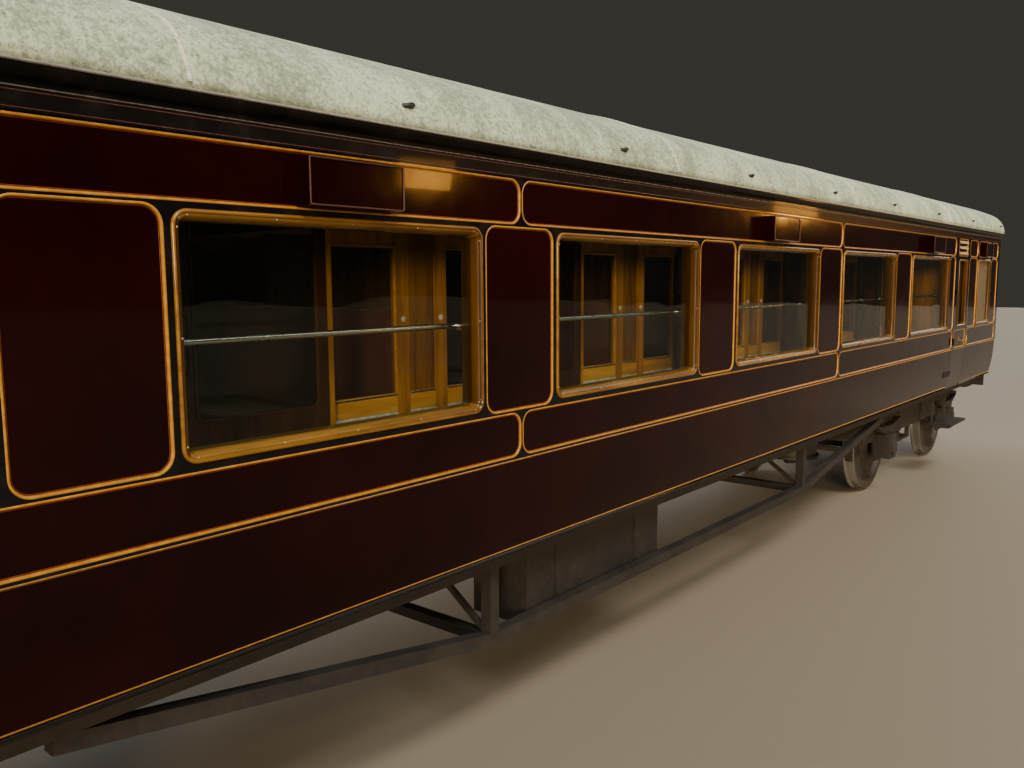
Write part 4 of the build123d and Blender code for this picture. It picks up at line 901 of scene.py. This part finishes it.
def arch_point(s, lift):
    """A point on the roof's arch at a distance s from the crown, signed, and a lift square to it.

    Up to the joint it lies on the large crown circle, and past it on the small haunch circle."""
    side, s = np.sign(s), np.abs(s)
    crown = s < crown_length
    angle = np.where(crown, s / crown_radius, joint_angle + (s - crown_length) / roof_haunch)
    radius = np.where(crown, crown_radius, roof_haunch)
    y0 = np.where(crown, 0.0, roof_half - roof_haunch)
    z0 = np.where(crown, cantrail_top + roof_rise - crown_radius, cantrail_top)
    return side * (y0 + (radius + lift) * np.sin(angle)), z0 + (radius + lift) * np.cos(angle)


def wrinkles(x, s, count=60):
    """Sum of soft ridges: sines of x and s with random directions and phases. Every third one is slanted."""
    total = np.zeros(np.broadcast(x, s).shape)
    for number in range(count):
        across, down = rng.normal(0, 16), rng.normal(0, 5)
        if number % 3 == 0:
            across, down = rng.normal(9, 2.5), rng.normal(14, 3)
        patch = 0.5 + 0.5 * np.sin(x * rng.normal(0, 1.3) + s * rng.normal(0, 1.3) + rng.uniform(0, 6.3))
        total += np.sin(x * across + s * down + rng.uniform(0, 6.3)) * patch ** 2 / (1 + abs(across) / 12)
    return total / math.sqrt(count)


def seam_lean(s):
    """How far a seam strays along the coach at a distance from the crown."""
    return 0.02 * np.sin(s * 1.7)


def shell_row(count, lift_of):
    """Points over the whole roof: x along the coach, a count of steps over the arch, and their lift."""
    x = along(-body_end, body_end, 1000)[:, None]
    s = along(-arch_length + 4 * MM, arch_length - 4 * MM, count)[None, :]
    y, z = arch_point(s + 0 * x, lift_of(x, s))
    return np.stack([x + 0 * s, y, z], -1)


def outer_lift(x, s):
    """The canvas's height over the boards: wrinkles, a step at each seam, and down again at the gutters."""
    lift = 2.4 * MM + 1.5 * MM * wrinkles(x, s)
    for place in seam_places:
        past = x - place - seam_lean(s)
        lift = lift + 1.6 * MM * (0.5 + 0.5 * np.tanh(past / 0.012)) * np.exp(-np.maximum(past, 0) / 0.22)
    return np.maximum(lift, 0.9 * MM) * np.minimum(1, (arch_length - np.abs(s)) / 0.03 + 0.25)


outer = shell_row(72, outer_lift)
inner = shell_row(9, lambda x, s: -12 * MM + 0 * x)
canvas = Patch().grid(np.concatenate([outer, inner[:, ::-1]], 1)[:, ::-1])
canvas.piece("roof_cloth", roof_canvas, "roof_canvas")

LAP = [(-8, -1), (-8, 5.8), (-5, 7.6), (0, 8.2), (5, 7.6), (8, 5.8), (8, -1)]
laps = Patch()
s = along(-arch_length + 30 * MM, arch_length - 30 * MM, 121)[:, None]
out, up = np.array(LAP, float).T * MM
for place in seam_places:
    y, z = arch_point(s, up * np.minimum(1, (arch_length - np.abs(s)) / 0.06 + 0.2))
    x = place + seam_lean(s) + out + 3 * MM * np.sin(s * 31)
    laps.grid(np.stack([x, y, z], -1), caps=True)
laps.piece("roof_seams", seam_canvas, "roof_canvas")

# %% [markdown]
# ## The roof's edge
# A pale fillet holds the canvas down along the gutter, and thin red lines run below it on the black
# cornice, with a thin grey line below the black gutter that is a painted highlight. They are plain bars with
# rounded sections. Small iron cleats stand on the canvas.


# %% Lines along the roof's edge
def strip_finish(name, colour, roughness=0.45):
    """One colour, darker in spots."""
    shader = Shader(name)
    tone = shader.noise(24.0, 5.0, 0.65).step(0.3, 0.8)
    darker = tuple(c * 0.6 for c in colour[:3]) + (1.0,)
    return shader.finish(Base_Color=shader.mix(tone, darker, colour), Roughness=tone * 0.2 + roughness,
                         Normal=shader.bump(tone, 0.0006))


fillet_paint = strip_finish("fillet_paint", rgb(0.36, 0.35, 0.31))
# Painted highlight: a thin grey line below the black gutter, where its round would catch the light.
grey_painted_highlight = strip_finish("grey_painted_highlight", rgb(0.16, 0.15, 0.13), 0.2)
iron = strip_finish("iron", rgb(0.020, 0.018, 0.016), 0.5)
whole = [(-body_end, body_end)]
cornice_face = panel_face + moulding_proud
fillet, grey, red, cleats = Patch(), Patch(), Patch(), Patch()
for side in sides.values():
    bars(fillet, side, whole, half_round(roof_half - 3 * MM, cantrail_top + 5 * MM, 6, 6))
    bars(grey, side, whole, half_round(cornice_face - 1 * MM, cantrail_top - 64 * MM, 4, 3))
    bars(red, side, whole, half_round(cornice_face - 0.6 * MM, cantrail_top - 76 * MM, 1.6, 2.5))
    bars(red, side, whole, half_round(cornice_face + 7.4 * MM, cantrail_bottom + 8 * MM, 1.4, 2.0))

cleat_length, cleat_width, cleat_rise = 66 * MM, 22 * MM, 97 * MM
first_cleat, cleat_pitch = -2988 * MM, 1700 * MM
cleat_places = [first_cleat + k * cleat_pitch for k in range(-3, 8)]
CLEAT_RINGS = [(-3, 1.0), (5, 1.0), (8, 0.75), (20, 0.60), (22, 0.45)]


def squared(wave):
    """A sine or cosine pushed towards a square wave, so that a circle becomes a rounded rectangle."""
    return np.sign(wave) * np.abs(wave) ** 0.5


def cleat_points(x, side):
    """An iron bracket on the haunch: a wedge along the eaves, drawn as rings from its foot to its top."""
    out_y, out_z = math.sqrt(roof_haunch ** 2 - cleat_rise ** 2) / roof_haunch, cleat_rise / roof_haunch
    y, z = roof_half - roof_haunch + roof_haunch * out_y, cantrail_top + cleat_rise
    angle = along(0, 2 * math.pi, 13)[:-1]
    lift, shrink = np.array(CLEAT_RINGS).T[:, :, None]
    lift = lift * MM
    across = squared(np.sin(angle)) * cleat_width / 2 * (0.6 + 0.4 * shrink)
    length = squared(np.cos(angle)) * cleat_length / 2 * shrink + lift * 0.6
    points = [x + length, side * (y + out_y * lift + out_z * across), z + out_z * lift - out_y * across]
    return np.stack(points, -1)


for side in sides.values():
    for place in cleat_places:
        if abs(place) < body_end - 0.2:
            cleats.grid(cleat_points(place, side), caps=True, side=-side)
cleats.piece("roof_cleats", iron, "underframe_black")
fillet.piece("canvas_fillet", fillet_paint, "roof_canvas")
grey.piece("cornice_grey_line", grey_painted_highlight, "moulding_paint")
red.piece("cornice_red_lines", cornice_red, "moulding_paint")

# %% [markdown]
# ## Hood edges and a blank plate
# The box ventilators are framed by thin beads, painted a lighter crimson than the side as a highlight. A
# small black plate without writing sits low on the side near each right-hand end, and lies flat on the curve
# of the tumblehome. It is a few rounded rectangles stacked outwards, each a little smaller than the one
# before.


# %% Hood edges and plates
def stacked(patch, side, x_span, z_span, layers, face, corner=4 * MM, steps=2):
    """Rounded rectangles stacked outwards on a side, as a closed board.

    A layer says how proud it is of the face, a function of the height, and how much smaller all round."""
    rings = []
    for proud, inset in layers:
        path, _ = rounded_path(x_span[0] + inset, x_span[1] - inset, z_span[0] + inset, z_span[1] - inset,
                               corner, steps)
        y = side * (np.broadcast_to(face(path[:, 1]), len(path)) + proud)
        rings.append(np.column_stack([path[:, 0], y, path[:, 1]]))
    patch.grid(np.array(rings), caps=True, side=side)


# Painted highlight: the hood beads are a lighter crimson than the side.
crimson_painted_highlight = strip_finish("crimson_painted_highlight", rgb(0.070, 0.021, 0.014), 0.35)
HOOD_BEAD = [(0.5, -3.0), (1.2, 0.5), (0.6, 2.6), (-1.2, 3.4), (-4.6, 2.6), (-6.0, 0.4), (-6.0, -3.0)]
hood_rows = [(window_places[k] - shift * MM, 487 * MM, 92 * MM) for k, shift in ((1, 28), (3, 110), (5, 28))]
hood_rows += [(x, 420 * MM, 70 * MM) for x in (-end_light_x, end_light_x)]
hood_bottom, hood_top = eaves_bottom + 6 * MM, eaves_bottom + 189 * MM
PLATE_LAYERS = [(-3 * MM, 0.0), (4 * MM, 0.0), (6 * MM, 2 * MM), (6 * MM, 8 * MM), (4.5 * MM, 10 * MM)]
plate_near, plate_far = 6340 * MM, 6660 * MM
plate_z = (body_bottom + 172 * MM, body_bottom + 252 * MM)
hood_edges, plates = Patch(), Patch()
for side in sides.values():
    for x, width, proud in hood_rows:
        framed(hood_edges, side, x - width / 2, x + width / 2, hood_bottom, hood_top, 7 * MM, HOOD_BEAD,
               panel_face + proud, 3)
    plate_x = sorted((-side * plate_near, -side * plate_far))
    stacked(plates, side, plate_x, plate_z, PLATE_LAYERS, side_face, 12 * MM, 3)
hood_edges.piece("hood_edges", crimson_painted_highlight, "panel_paint", sharp=50)
plates.piece("blank_plates", cornice_black, "moulding_paint", sharp=50)

# %% [markdown]
# ## Screws in the window frames
# Each frame is held by brass screws with domed heads, in the corners and at even steps between. A head is
# turned: a profile carried round an axis, with few faces, because there are well over a hundred of them.


# %% Screws in the window frames
def circles(across, up, sides_round):
    """Directions round a circle in the plane of two unit vectors."""
    angle = along(0, 2 * math.pi, sides_round + 1)[:-1, None]
    return np.cos(angle) * across + np.sin(angle) * up


def turned(profile, origin, axis, sides_round=24):
    """A turned shape: pairs of height and radius carried round an axis that starts at the origin."""
    axis = np.array(axis, float)
    helper = np.array([0, 0, 1.0]) if abs(axis[2]) < 0.9 else np.array([1.0, 0, 0])
    across = np.cross(axis, helper)
    height, radius = np.array(profile, float).T[:, :, None, None] * MM
    return np.asarray(origin) + height * axis + radius * circles(across, np.cross(axis, across), sides_round)


SCREW = [(0.0, 0.0), (0.0, 4.2), (0.9, 3.6), (1.6, 1.8), (1.8, 0.0)]
screw_face = panel_face + 12.2 * MM


def screw_places(x, width):
    """Places of the screws of one frame: near the corners, and between them along each bar."""
    inset = 17 * MM
    left, right = x - width / 2 + inset, x + width / 2 - inset
    across = along(left + 40 * MM, right - 40 * MM, 3 if width < 1 else 5)
    places = [(a, z) for z in (window_bottom + inset, window_top - inset) for a in across]
    up = along(window_bottom + 60 * MM, window_top - 60 * MM, 3)
    return places + [(a, z) for a in (left, right) for z in up]


screws = Patch()
for side in sides.values():
    for x, width in window_rows:
        for a, z in screw_places(x, width):
            screws.grid(turned(SCREW, (a, side * screw_face, z), (0, side, 0), 8))
screws.piece("frame_screws", screw_steel, "bright_metal")

# %% [markdown]
# ## Doors: lines, light frames and handles
# What is fixed to a door rides on the door's body, so that it swings with it. Each door has a ring of wood
# round its light, gold round its waist panel and its vent, and a brass T handle near the free edge. The
# handle's bar is a tube: a circle carried square to a path, with its own radius at each point.


# %% Doors: lines, light frames and handles
def tube(path, radius, sides_round=12):
    """A round tube along a path of points: a circle carried square to the path."""
    tangent = np.gradient(path, axis=0)
    tangent /= np.linalg.norm(tangent, axis=1)[:, None]
    helper = np.where(np.abs(tangent[:, 2:3]) < 0.9, [[0, 0, 1.0]], [[1.0, 0, 0]])
    across = np.cross(tangent, helper)
    across /= np.linalg.norm(across, axis=1)[:, None]
    up = np.cross(across, tangent)
    radius = np.broadcast_to(radius, len(path))
    return path[:, None] + circles(across[:, None], up[:, None], sides_round) * radius[:, None, None]


DOOR_RING = [(6.0, 7.0), (6.0, 11.0), (3.0, 15.0), (-3.0, 16.0), (-8.0, 13.0), (-13.0, 5.0), (-17.0, -8.0),
             (-18.0, -30.0), (-18.0, -38.0), (-0.3, -38.0), (-0.3, 7.0)]
HANDLE_STEM = [(-2, 0), (-2, 27), (3, 27), (6, 22), (7, 11), (44, 9), (46, 0)]
DOOR_ROWS = [(285 * MM, waist_bottom, waist_top, 32.5 * MM), (220 * MM, eaves_bottom, eaves_top, 16.25 * MM)]
light_width = 449 * MM
light_shift, light_corner = 32 * MM, 40 * MM
handle_z = waist_bottom + 66 * MM
handle_inset, handle_stand, handle_reach = 138 * MM, 46 * MM, 78 * MM


def t_handle(patch, x, side, z):
    """A round plate, a stem and a cross bar that is thicker in its middle."""
    patch.grid(turned(HANDLE_STEM, (x, side * panel_face, z), (0, side, 0)))
    reach = along(-handle_reach, handle_reach, 17)
    bar = np.array([x, side * (panel_face + handle_stand), z]) + np.outer(reach, [0, 0, 1.0])
    thick = (9 - 3.5 * (np.abs(reach) / handle_reach) ** 1.5) * MM
    thick[[0, -1]] = 0.5 * MM
    patch.grid(tube(bar, thick), caps=True)


for side_name, side in sides.items():
    for end_name, end in ends.items():
        place = f"{side_name}_{end_name}"
        body = f"door_{place}"
        centre, half = end * door_x, door_width / 2
        gold, red, ring, metal = Patch(), Patch(), Patch(), Patch()
        for reach, low, high, corner in DOOR_ROWS:
            framed(gold, side, centre - reach, centre + reach, low, high, corner, GOLD_PROFILE)
            framed(red, side, centre - reach, centre + reach, low, high, corner, RED_PROFILE)
        bars(gold, side, [(centre - half, centre + half)], edge_section(moulding_bottom))
        light_x = centre + end * light_shift
        framed(ring, side, light_x - light_width / 2, light_x + light_width / 2, window_bottom + 20 * MM,
               window_top - 20 * MM, light_corner, DOOR_RING)
        t_handle(metal, centre + end * (half - handle_inset), side, handle_z)
        gold.piece(f"door_gold_{place}", gold_leaf, "bright_metal", body)
        red.piece(f"door_red_{place}", vermilion, "moulding_paint", body)
        ring.piece(f"door_light_frame_{place}", window_wood_painted_shade, "golden_wood", body, sharp=40)
        metal.piece(f"door_handle_{place}", brass, "bright_metal", body, sharp=40)

# %% [markdown]
# ## The corridor partition
# Through the windows the varnished partition shows, with a round white knob on each pilaster, a rail with
# ledges under each light that are painted pale as a highlight, and a bead round the light. All of it stands
# on the corridor side.

# %% Knobs, rails and beads of the partition
knob_white = strip_finish("knob_white", rgb(0.93, 0.91, 0.86), 0.10)
# Painted highlight: the ledges are near white, for the overhead light that they reflect.
ledge_painted_highlight = strip_finish("ledge_painted_highlight", rgb(0.88, 0.86, 0.80), 0.18)
rail_wood = wood("rail_wood", rgb(0.86, 0.43, 0.065), rgb(0.58, 0.26, 0.034), along_axis=0)
partition_face = 640 * MM
pilaster_face = partition_face + 12 * MM
knob_z = rail_top + 2357 * MM
board_half = 195 * MM
partition_low = floor_top + 645 * MM
partition_high = floor_top + 1450 * MM
rail_foot = partition_low - 97 * MM
KNOB = [(-2, 0), (-2, 17), (4, 17), (8, 15), (10, 10), (11, 0)]
LIGHT_BEAD = [(10, 0), (9, 6), (4, 9), (-4, 8), (-8, 4), (-9, -2), (-0.5, -2), (-0.5, 0)]


def within_run(x):
    """Whether a place along the coach lies on the partition."""
    return walls[0] - 0.01 < x < walls[-1] + 0.01


def board(patch, x_span, z_span, thick, soften):
    """A thin board with softened edges on the corridor side of the partition."""
    layers = [(-1 * MM, 0.0), (thick - soften, 0.0), (thick - soften * 0.3, soften * 0.3), (thick, soften)]
    stacked(patch, -1, x_span, z_span, layers, lambda z: partition_face)


knobs, rails, ledges, beads = Patch(), Patch(), Patch(), Patch()
for wall in walls:
    for turn in (-1, 1):
        if within_run(wall + turn * 149 * MM):
            knobs.grid(turned(KNOB, (wall + turn * 146 * MM, -pilaster_face, knob_z), (0, -1, 0)))
    lights = [(-board_half - light_width, -board_half), (board_half, board_half + light_width)]
    for a, b in lights + [(-102 * MM, 102 * MM)]:
        a, b = max(wall + a, walls[0]), min(wall + b, walls[-1])
        if b - a >= 50 * MM:
            span = (a + 1 * MM, b - 1 * MM)
            board(rails, span, (rail_foot, partition_low - 2 * MM), 9 * MM, 3 * MM)
            board(ledges, span, (rail_foot - 19 * MM, rail_foot - 1 * MM), 16 * MM, 5 * MM)
            board(ledges, span, (partition_low - 6 * MM, partition_low + 3 * MM), 14 * MM, 4 * MM)
    for a, b in lights:
        if within_run(wall + (a + b) / 2):
            framed(beads, -1, wall + a, wall + b, partition_low, partition_high, 6 * MM, LIGHT_BEAD,
                   partition_face, 3)
knobs.piece("partition_knobs", knob_white, "bright_metal")
rails.piece("partition_rails", rail_wood, "golden_wood", sharp=40)
ledges.piece("partition_ledges", ledge_painted_highlight, "golden_wood", sharp=40)
beads.piece("partition_beads", golden_long, "golden_wood", sharp=40)

# %% [markdown]
# ## Panes and handles of the sliding doors
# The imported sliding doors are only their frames. Each gets a pane, a bead that holds it, and a grab rail,
# and all three ride on the door.

# %% Panes and handles of the sliding doors
SLIDING_BEAD = [(8, -1), (7, 5), (0, 7), (-7, 4), (-9, -10), (-0.5, -10), (-0.5, -1)]
FLANGE = [(-3, 0), (-3, 26), (4, 25), (6, 18), (7, 0)]
stile_width, pane_corner = 95 * MM, 40 * MM
rail_stand, rail_bend, rail_radius = 40 * MM, 34 * MM, 8 * MM


def grab_rail(patch, x, z_low, z_high, face):
    """A round rail on two curved feet: the path runs out, up and back."""
    t = along(0, math.pi / 2, 7)
    out = np.concatenate([[0], rail_stand - rail_bend * (1 - np.sin(t))])
    up = np.concatenate([[0], rail_bend * (1 - np.cos(t))])
    y = -(face - 4 * MM) - np.concatenate([out, out[::-1]])
    z = np.concatenate([z_low + up, (z_high - up)[::-1]])
    patch.grid(tube(np.column_stack([np.full(len(y), x), y, z]), rail_radius), caps=True)
    for foot in (z_low, z_high):
        patch.grid(turned(FLANGE, (x, -face, foot), (0, -1, 0)))


for number, x in enumerate(window_places, 1):
    body = f"sliding_door_{number}"
    low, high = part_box(body)
    middle, half = -(low.y + high.y) / 2, (high.x - low.x) / 2 - stile_width
    z_low, z_high = low.z + 640 * MM, high.z - 142.5 * MM
    pane, ring, metal = Patch(), Patch(), Patch()
    stacked(pane, -1, (x - half - 1 * MM, x + half + 1 * MM), (z_low - 1 * MM, z_high + 1 * MM),
            [(-2.5 * MM, 0.0), (2.5 * MM, 0.0)], lambda z: middle, pane_corner, 6)
    framed(ring, -1, x - half, x + half, z_low, z_high, pane_corner, SLIDING_BEAD, -low.y, 6)
    grab_rail(metal, x - half - 48 * MM, low.z + 860 * MM, low.z + 1120 * MM, -low.y)
    pane.piece(f"sliding_pane_{number}", door_pane, "glass", body, smooth=False)
    ring.piece(f"sliding_bead_{number}", door_wood, "golden_wood", body, sharp=40)
    metal.piece(f"sliding_handle_{number}", iron, "bright_metal", body, sharp=50)

# %% [markdown]
# ## Seat cushions
# A sprung seat is a case of plush over horsehair, so it is crowned, and its sides pull in a little between
# the corners. Blender's Cloth does this by itself: the skin of a block is blown up by air for twenty frames.
# One seat and one back are blown up and each is copied to its twelve places, as the real ones were cut from
# one pattern. No point may move more than 24 mm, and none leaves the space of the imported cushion.

# %% Cushions blown up as cloth
pad_radius, pad_room, pad_voxel, pad_cap = 34 * MM, 12 * MM, 22 * MM, 24 * MM
piping_radius = 5 * MM


def coordinates(mesh):
    """The points of a mesh as an array."""
    flat = np.zeros(len(mesh.vertices) * 3)
    mesh.vertices.foreach_get("co", flat)
    return flat.reshape(-1, 3)


def even_block(half):
    """A block with round edges in even squares: each point is pushed out from an inner box."""
    corners = np.array(np.meshgrid([-1, 1], [-1, 1], [-1, 1], indexing="ij")).reshape(3, -1).T * half
    faces = [(0, 1, 3, 2), (4, 6, 7, 5), (0, 4, 5, 1), (2, 3, 7, 6), (0, 2, 6, 4), (1, 5, 7, 3)]
    mesh = bpy.data.meshes.new("pad_block")
    mesh.from_pydata(corners.tolist(), [], faces)
    thing = bpy.data.objects.new("pad_block", mesh)
    scene.collection.objects.link(thing)
    remesh = thing.modifiers.new("even", "REMESH")
    remesh.mode, remesh.voxel_size = "VOXEL", pad_voxel
    even = bpy.data.meshes.new_from_object(thing.evaluated_get(bpy.context.evaluated_depsgraph_get()))
    thing.modifiers.remove(remesh)
    thing.data = even
    points = coordinates(even)
    inner = np.clip(points, pad_radius - half, half - pad_radius)
    away = points - inner
    length = np.maximum(np.linalg.norm(away, axis=1), 1e-6)[:, None]
    even.vertices.foreach_set("co", (inner + away / length * pad_radius).ravel())
    even.update()
    return thing


def blown(size):
    """A cushion case of a size, blown up as cloth: its points before and after, and its faces."""
    full = np.array(size) / 2
    thing = even_block(full - pad_room)
    before = after = coordinates(thing.data)
    case = thing.modifiers.new("case", "CLOTH").settings
    case.quality, case.mass = 6, 0.3
    case.tension_stiffness, case.compression_stiffness, case.shear_stiffness = 12, 12, 4
    case.bending_stiffness, case.use_pressure, case.uniform_pressure_force = 0.4, True, 4.0
    case.effector_weights.gravity = 0.0
    for number in range(1, 21):
        scene.frame_set(number)
    after = coordinates(thing.evaluated_get(bpy.context.evaluated_depsgraph_get()).to_mesh())
    scene.frame_set(1)
    moved = after - before
    length = np.maximum(np.linalg.norm(moved, axis=1), 1e-9)[:, None]
    print("moved by up to", round(float(length.max()) / MM, 1), "mm")
    after = np.clip(before + moved * np.minimum(1, pad_cap / length), -full, full)
    faces = [list(face.vertices) for face in thing.data.polygons]
    bpy.data.objects.remove(thing)
    return before, after, faces


def carried(path, before, after, near=6):
    """Where points near the case go when it is blown up: the mean move of the nearest points of the case."""
    distance = np.linalg.norm(path[:, None] - before[None], axis=2)
    nearest = np.argsort(distance, axis=1)[:, :near]
    weight = 1 / (np.take_along_axis(distance, nearest, 1) + 1 * MM)
    weight /= weight.sum(axis=1, keepdims=True)
    return path + ((after - before)[nearest] * weight[..., None]).sum(axis=1)


def piping_path(size, axis, steps=14):
    """A round of piping on the shoulder of a block, square to an axis: x for a back, z for a seat."""
    shoulder = np.array(size) / 2 - pad_room - pad_radius * (1 - math.sqrt(0.5))
    first, second = [k for k in range(3) if k != axis]
    wide, high = shoulder[first], shoulder[second]
    path, _ = rounded_path(-wide, wide, -high, high, pad_radius, 5)
    onward = (np.roll(path, -1, 0) - path)[:, None] * along(0, 1, steps)[:-1, None]
    points = np.zeros((len(path) * (steps - 1), 3))
    points[:, [first, second]] = (path[:, None] + onward).reshape(-1, 2)
    points[:, axis] = shoulder[axis]
    return points[::2]


def closed_tube(path, radius, sides_round=6):
    """A tube round a closed path, without a join."""
    return tube(np.concatenate([path[-2:], path, path[:2]]), radius, sides_round)[2:-2]


partition_back = 605 * MM
wall_half = 20 * MM
seat_length = room_half + partition_back - 40 * MM
seat_y = (room_half - partition_back) / 2
seat_size = (560 * MM, seat_length, 160 * MM)
back_size = (130 * MM, seat_length, 678 * MM)
seat_z = floor_top + 380 * MM
back_z = floor_top + 462 * MM + back_size[2] / 2
faces_of_walls = [(wall + turn * wall_half, turn) for wall in walls for turn in (-1, 1)
                  if walls[0] < wall + turn * 0.5 < walls[-1]]
piping_plush = plush("piping_plush", rgb(0.12, 0.020, 0.016), rgb(0.05, 0.008, 0.008))
piping = Patch()
for kind, size, axis, z in (("seat_pad", seat_size, 2, seat_z), ("seat_back", back_size, 0, back_z)):
    before, after, faces = blown(size)
    welt = carried(piping_path(size, axis), before, after)
    for number, (face, turn) in enumerate(faces_of_walls, 1):
        place = np.array([face + turn * size[0] / 2, seat_y, z])
        flip = np.array([turn, 1, 1]) if axis == 0 else np.ones(3)
        turned_faces = faces if flip[0] > 0 else [corners[::-1] for corners in faces]
        pad = Patch().add(after * flip + place, turned_faces, np.zeros(len(after)))
        cushion = pad.piece(f"{kind}_{number}", seat_plush, "seat_cloth", replaces=["seat_cushions"])
        piping.grid(closed_tube(welt * flip + place, piping_radius), closed=True, side=-flip[0])
piping.piece("seat_piping", piping_plush, "seat_cloth")

# %% [markdown]
# ## Lamps on the ceiling
# Each compartment and the corridor have small opal bowls in brass rims. They are turned profiles that hang
# from the inner arch of the roof, whose height at a place follows from its circle.

# %% Lamps on the ceiling
opal = strip_finish("opal", rgb(0.74, 0.72, 0.64), 0.2)
ceiling_rise, ceiling_haunch = 505 * MM, 250 * MM
ceiling_radius = arch_radius(room_half, ceiling_haunch, ceiling_rise)


def ceiling_height(y):
    """The height of the ceiling at a distance from the middle: the crown circle of the inner arch."""
    return cantrail_top + ceiling_rise - ceiling_radius + math.sqrt(ceiling_radius ** 2 - y ** 2)


RIM = [(-6, 0), (-6, 84), (10, 84), (20, 78), (26, 70), (26, 0)]
BOWL = [(20, 0), (20, 68), (40, 69), (66, 58), (84, 36), (92, 0)]
corridor_y = -0.95
rims, bowls = Patch(), Patch()
for x in window_places:
    for y in (seat_y, corridor_y):
        top = (x, y, ceiling_height(y))
        rims.grid(turned(RIM, top, (0, 0, -1)))
        bowls.grid(turned(BOWL, top, (0, 0, -1)))
rims.piece("lamp_rims", brass, "bright_metal", sharp=40)
bowls.piece("lamp_bowls", opal, "glass")

# %% [markdown]
# ## Floor and light
# A plain floor, four soft suns, three lamps and a dim sky are enough. A varnished side is a mirror, so the
# sky stays dim. The lamp over the side is long, like the roof lights of a shed, and two small warm ones make
# the glints in the varnish.

# %% Floor and light
floor_mesh = bpy.data.meshes.new("studio_floor")
floor_mesh.from_pydata([(-80, -80, 0), (80, -80, 0), (80, 80, 0), (-80, 80, 0)], [], [(0, 1, 2, 3)])
studio_floor = bpy.data.objects.new("studio_floor", floor_mesh)
scene.collection.objects.link(studio_floor)
pale = Shader("pale_floor")
floor_mesh.materials.append(pale.finish(Base_Color=rgb(0.225, 0.190, 0.140), Roughness=0.8))

world = bpy.data.worlds.new("soft_sky")
world.use_nodes = True
world.node_tree.nodes["Background"].inputs["Color"].default_value = rgb(0.92, 0.85, 0.72)
world.node_tree.nodes["Background"].inputs["Strength"].default_value = 0.046
scene.world = world


def aimed(data, name, place, aim):
    """Put a lamp at a place and turn it towards a point."""
    thing = bpy.data.objects.new(name, data)
    thing.location = place
    direction = np.array(aim, float) - np.array(place, float)
    thing.rotation_euler = (math.atan2(math.hypot(direction[0], direction[1]), direction[2]) + math.pi, 0,
                            math.atan2(direction[1], direction[0]) + math.pi / 2)
    scene.collection.objects.link(thing)
    return thing


def lamp(name, place, aim, size, power, colour):
    """A large area lamp that looks at a point."""
    data = bpy.data.lights.new(name, "AREA")
    data.shape, data.size, data.size_y = "RECTANGLE", size[0], size[1]
    data.energy, data.color = power, colour
    return aimed(data, name, place, aim)


def soft_sun(name, place, strength, spread, colour):
    """An even light from one direction, soft by its spread, the same all along the coach."""
    data = bpy.data.lights.new(name, "SUN")
    data.energy, data.angle, data.color = strength, math.radians(spread), colour
    return aimed(data, name, place, (0, 0, 0))


soft_sun("key_sun", (-4.0, -8.0, 11.0), 2.6, 25, (1.0, 0.99, 0.93))
soft_sun("fill_sun", (4.0, 9.0, 8.0), 1.2, 45, (0.94, 0.97, 1.0))
soft_sun("low_sun", (-12.0, -9.5, 2.3), 3.1, 13, (1.0, 0.76, 0.45))
soft_sun("end_sun", (9.0, 1.5, 3.5), 1.0, 40, (1.0, 0.97, 0.92))
lamp("roof_lights", (0, -7.0, 9.0), (0, -1.0, 2.5), (26, 1.2), 500, (1.0, 0.94, 0.84))
lamp("warm_near", (3.9, -8.2, 4.2), (2.5, -1.3, 2.2), (1.0, 0.45), 58, (1.0, 0.42, 0.065))
lamp("warm_far", (14.5, -6.7, 4.2), (8.0, -1.3, 2.2), (1.0, 0.45), 58, (1.0, 0.42, 0.065))

# %% [markdown]
# ## Camera
# The place, the turn and the lens are those of the photographer, worked out from the lines of the photo.
# Three unit vectors, right, up and back, are the columns of the camera's matrix.

# %% Camera
camera_data = bpy.data.cameras.new("camera")
camera_data.sensor_width = 36.0
camera_data.lens = 30.652
camera_data.clip_end = 200
camera = bpy.data.objects.new("camera", camera_data)
yaw, dip, roll = math.radians(50.174), math.radians(6.805), math.radians(-0.300)
forward = np.array([math.sin(yaw) * math.cos(dip), math.cos(yaw) * math.cos(dip), -math.sin(dip)])
right = np.array([math.cos(yaw), -math.sin(yaw), 0.0])
upward = np.cross(right, forward)
right_rolled = math.cos(roll) * right + math.sin(roll) * upward
up_rolled = -math.sin(roll) * right + math.cos(roll) * upward
matrix = np.eye(4)
matrix[:3, 0], matrix[:3, 1], matrix[:3, 2] = right_rolled, up_rolled, -forward
matrix[:3, 3] = (-5.654, -4.197, 2.596)
camera.matrix_world = Matrix(matrix.tolist())
scene.collection.objects.link(camera)
scene.camera = camera
print("camera at", [round(v, 3) for v in matrix[:3, 3]])
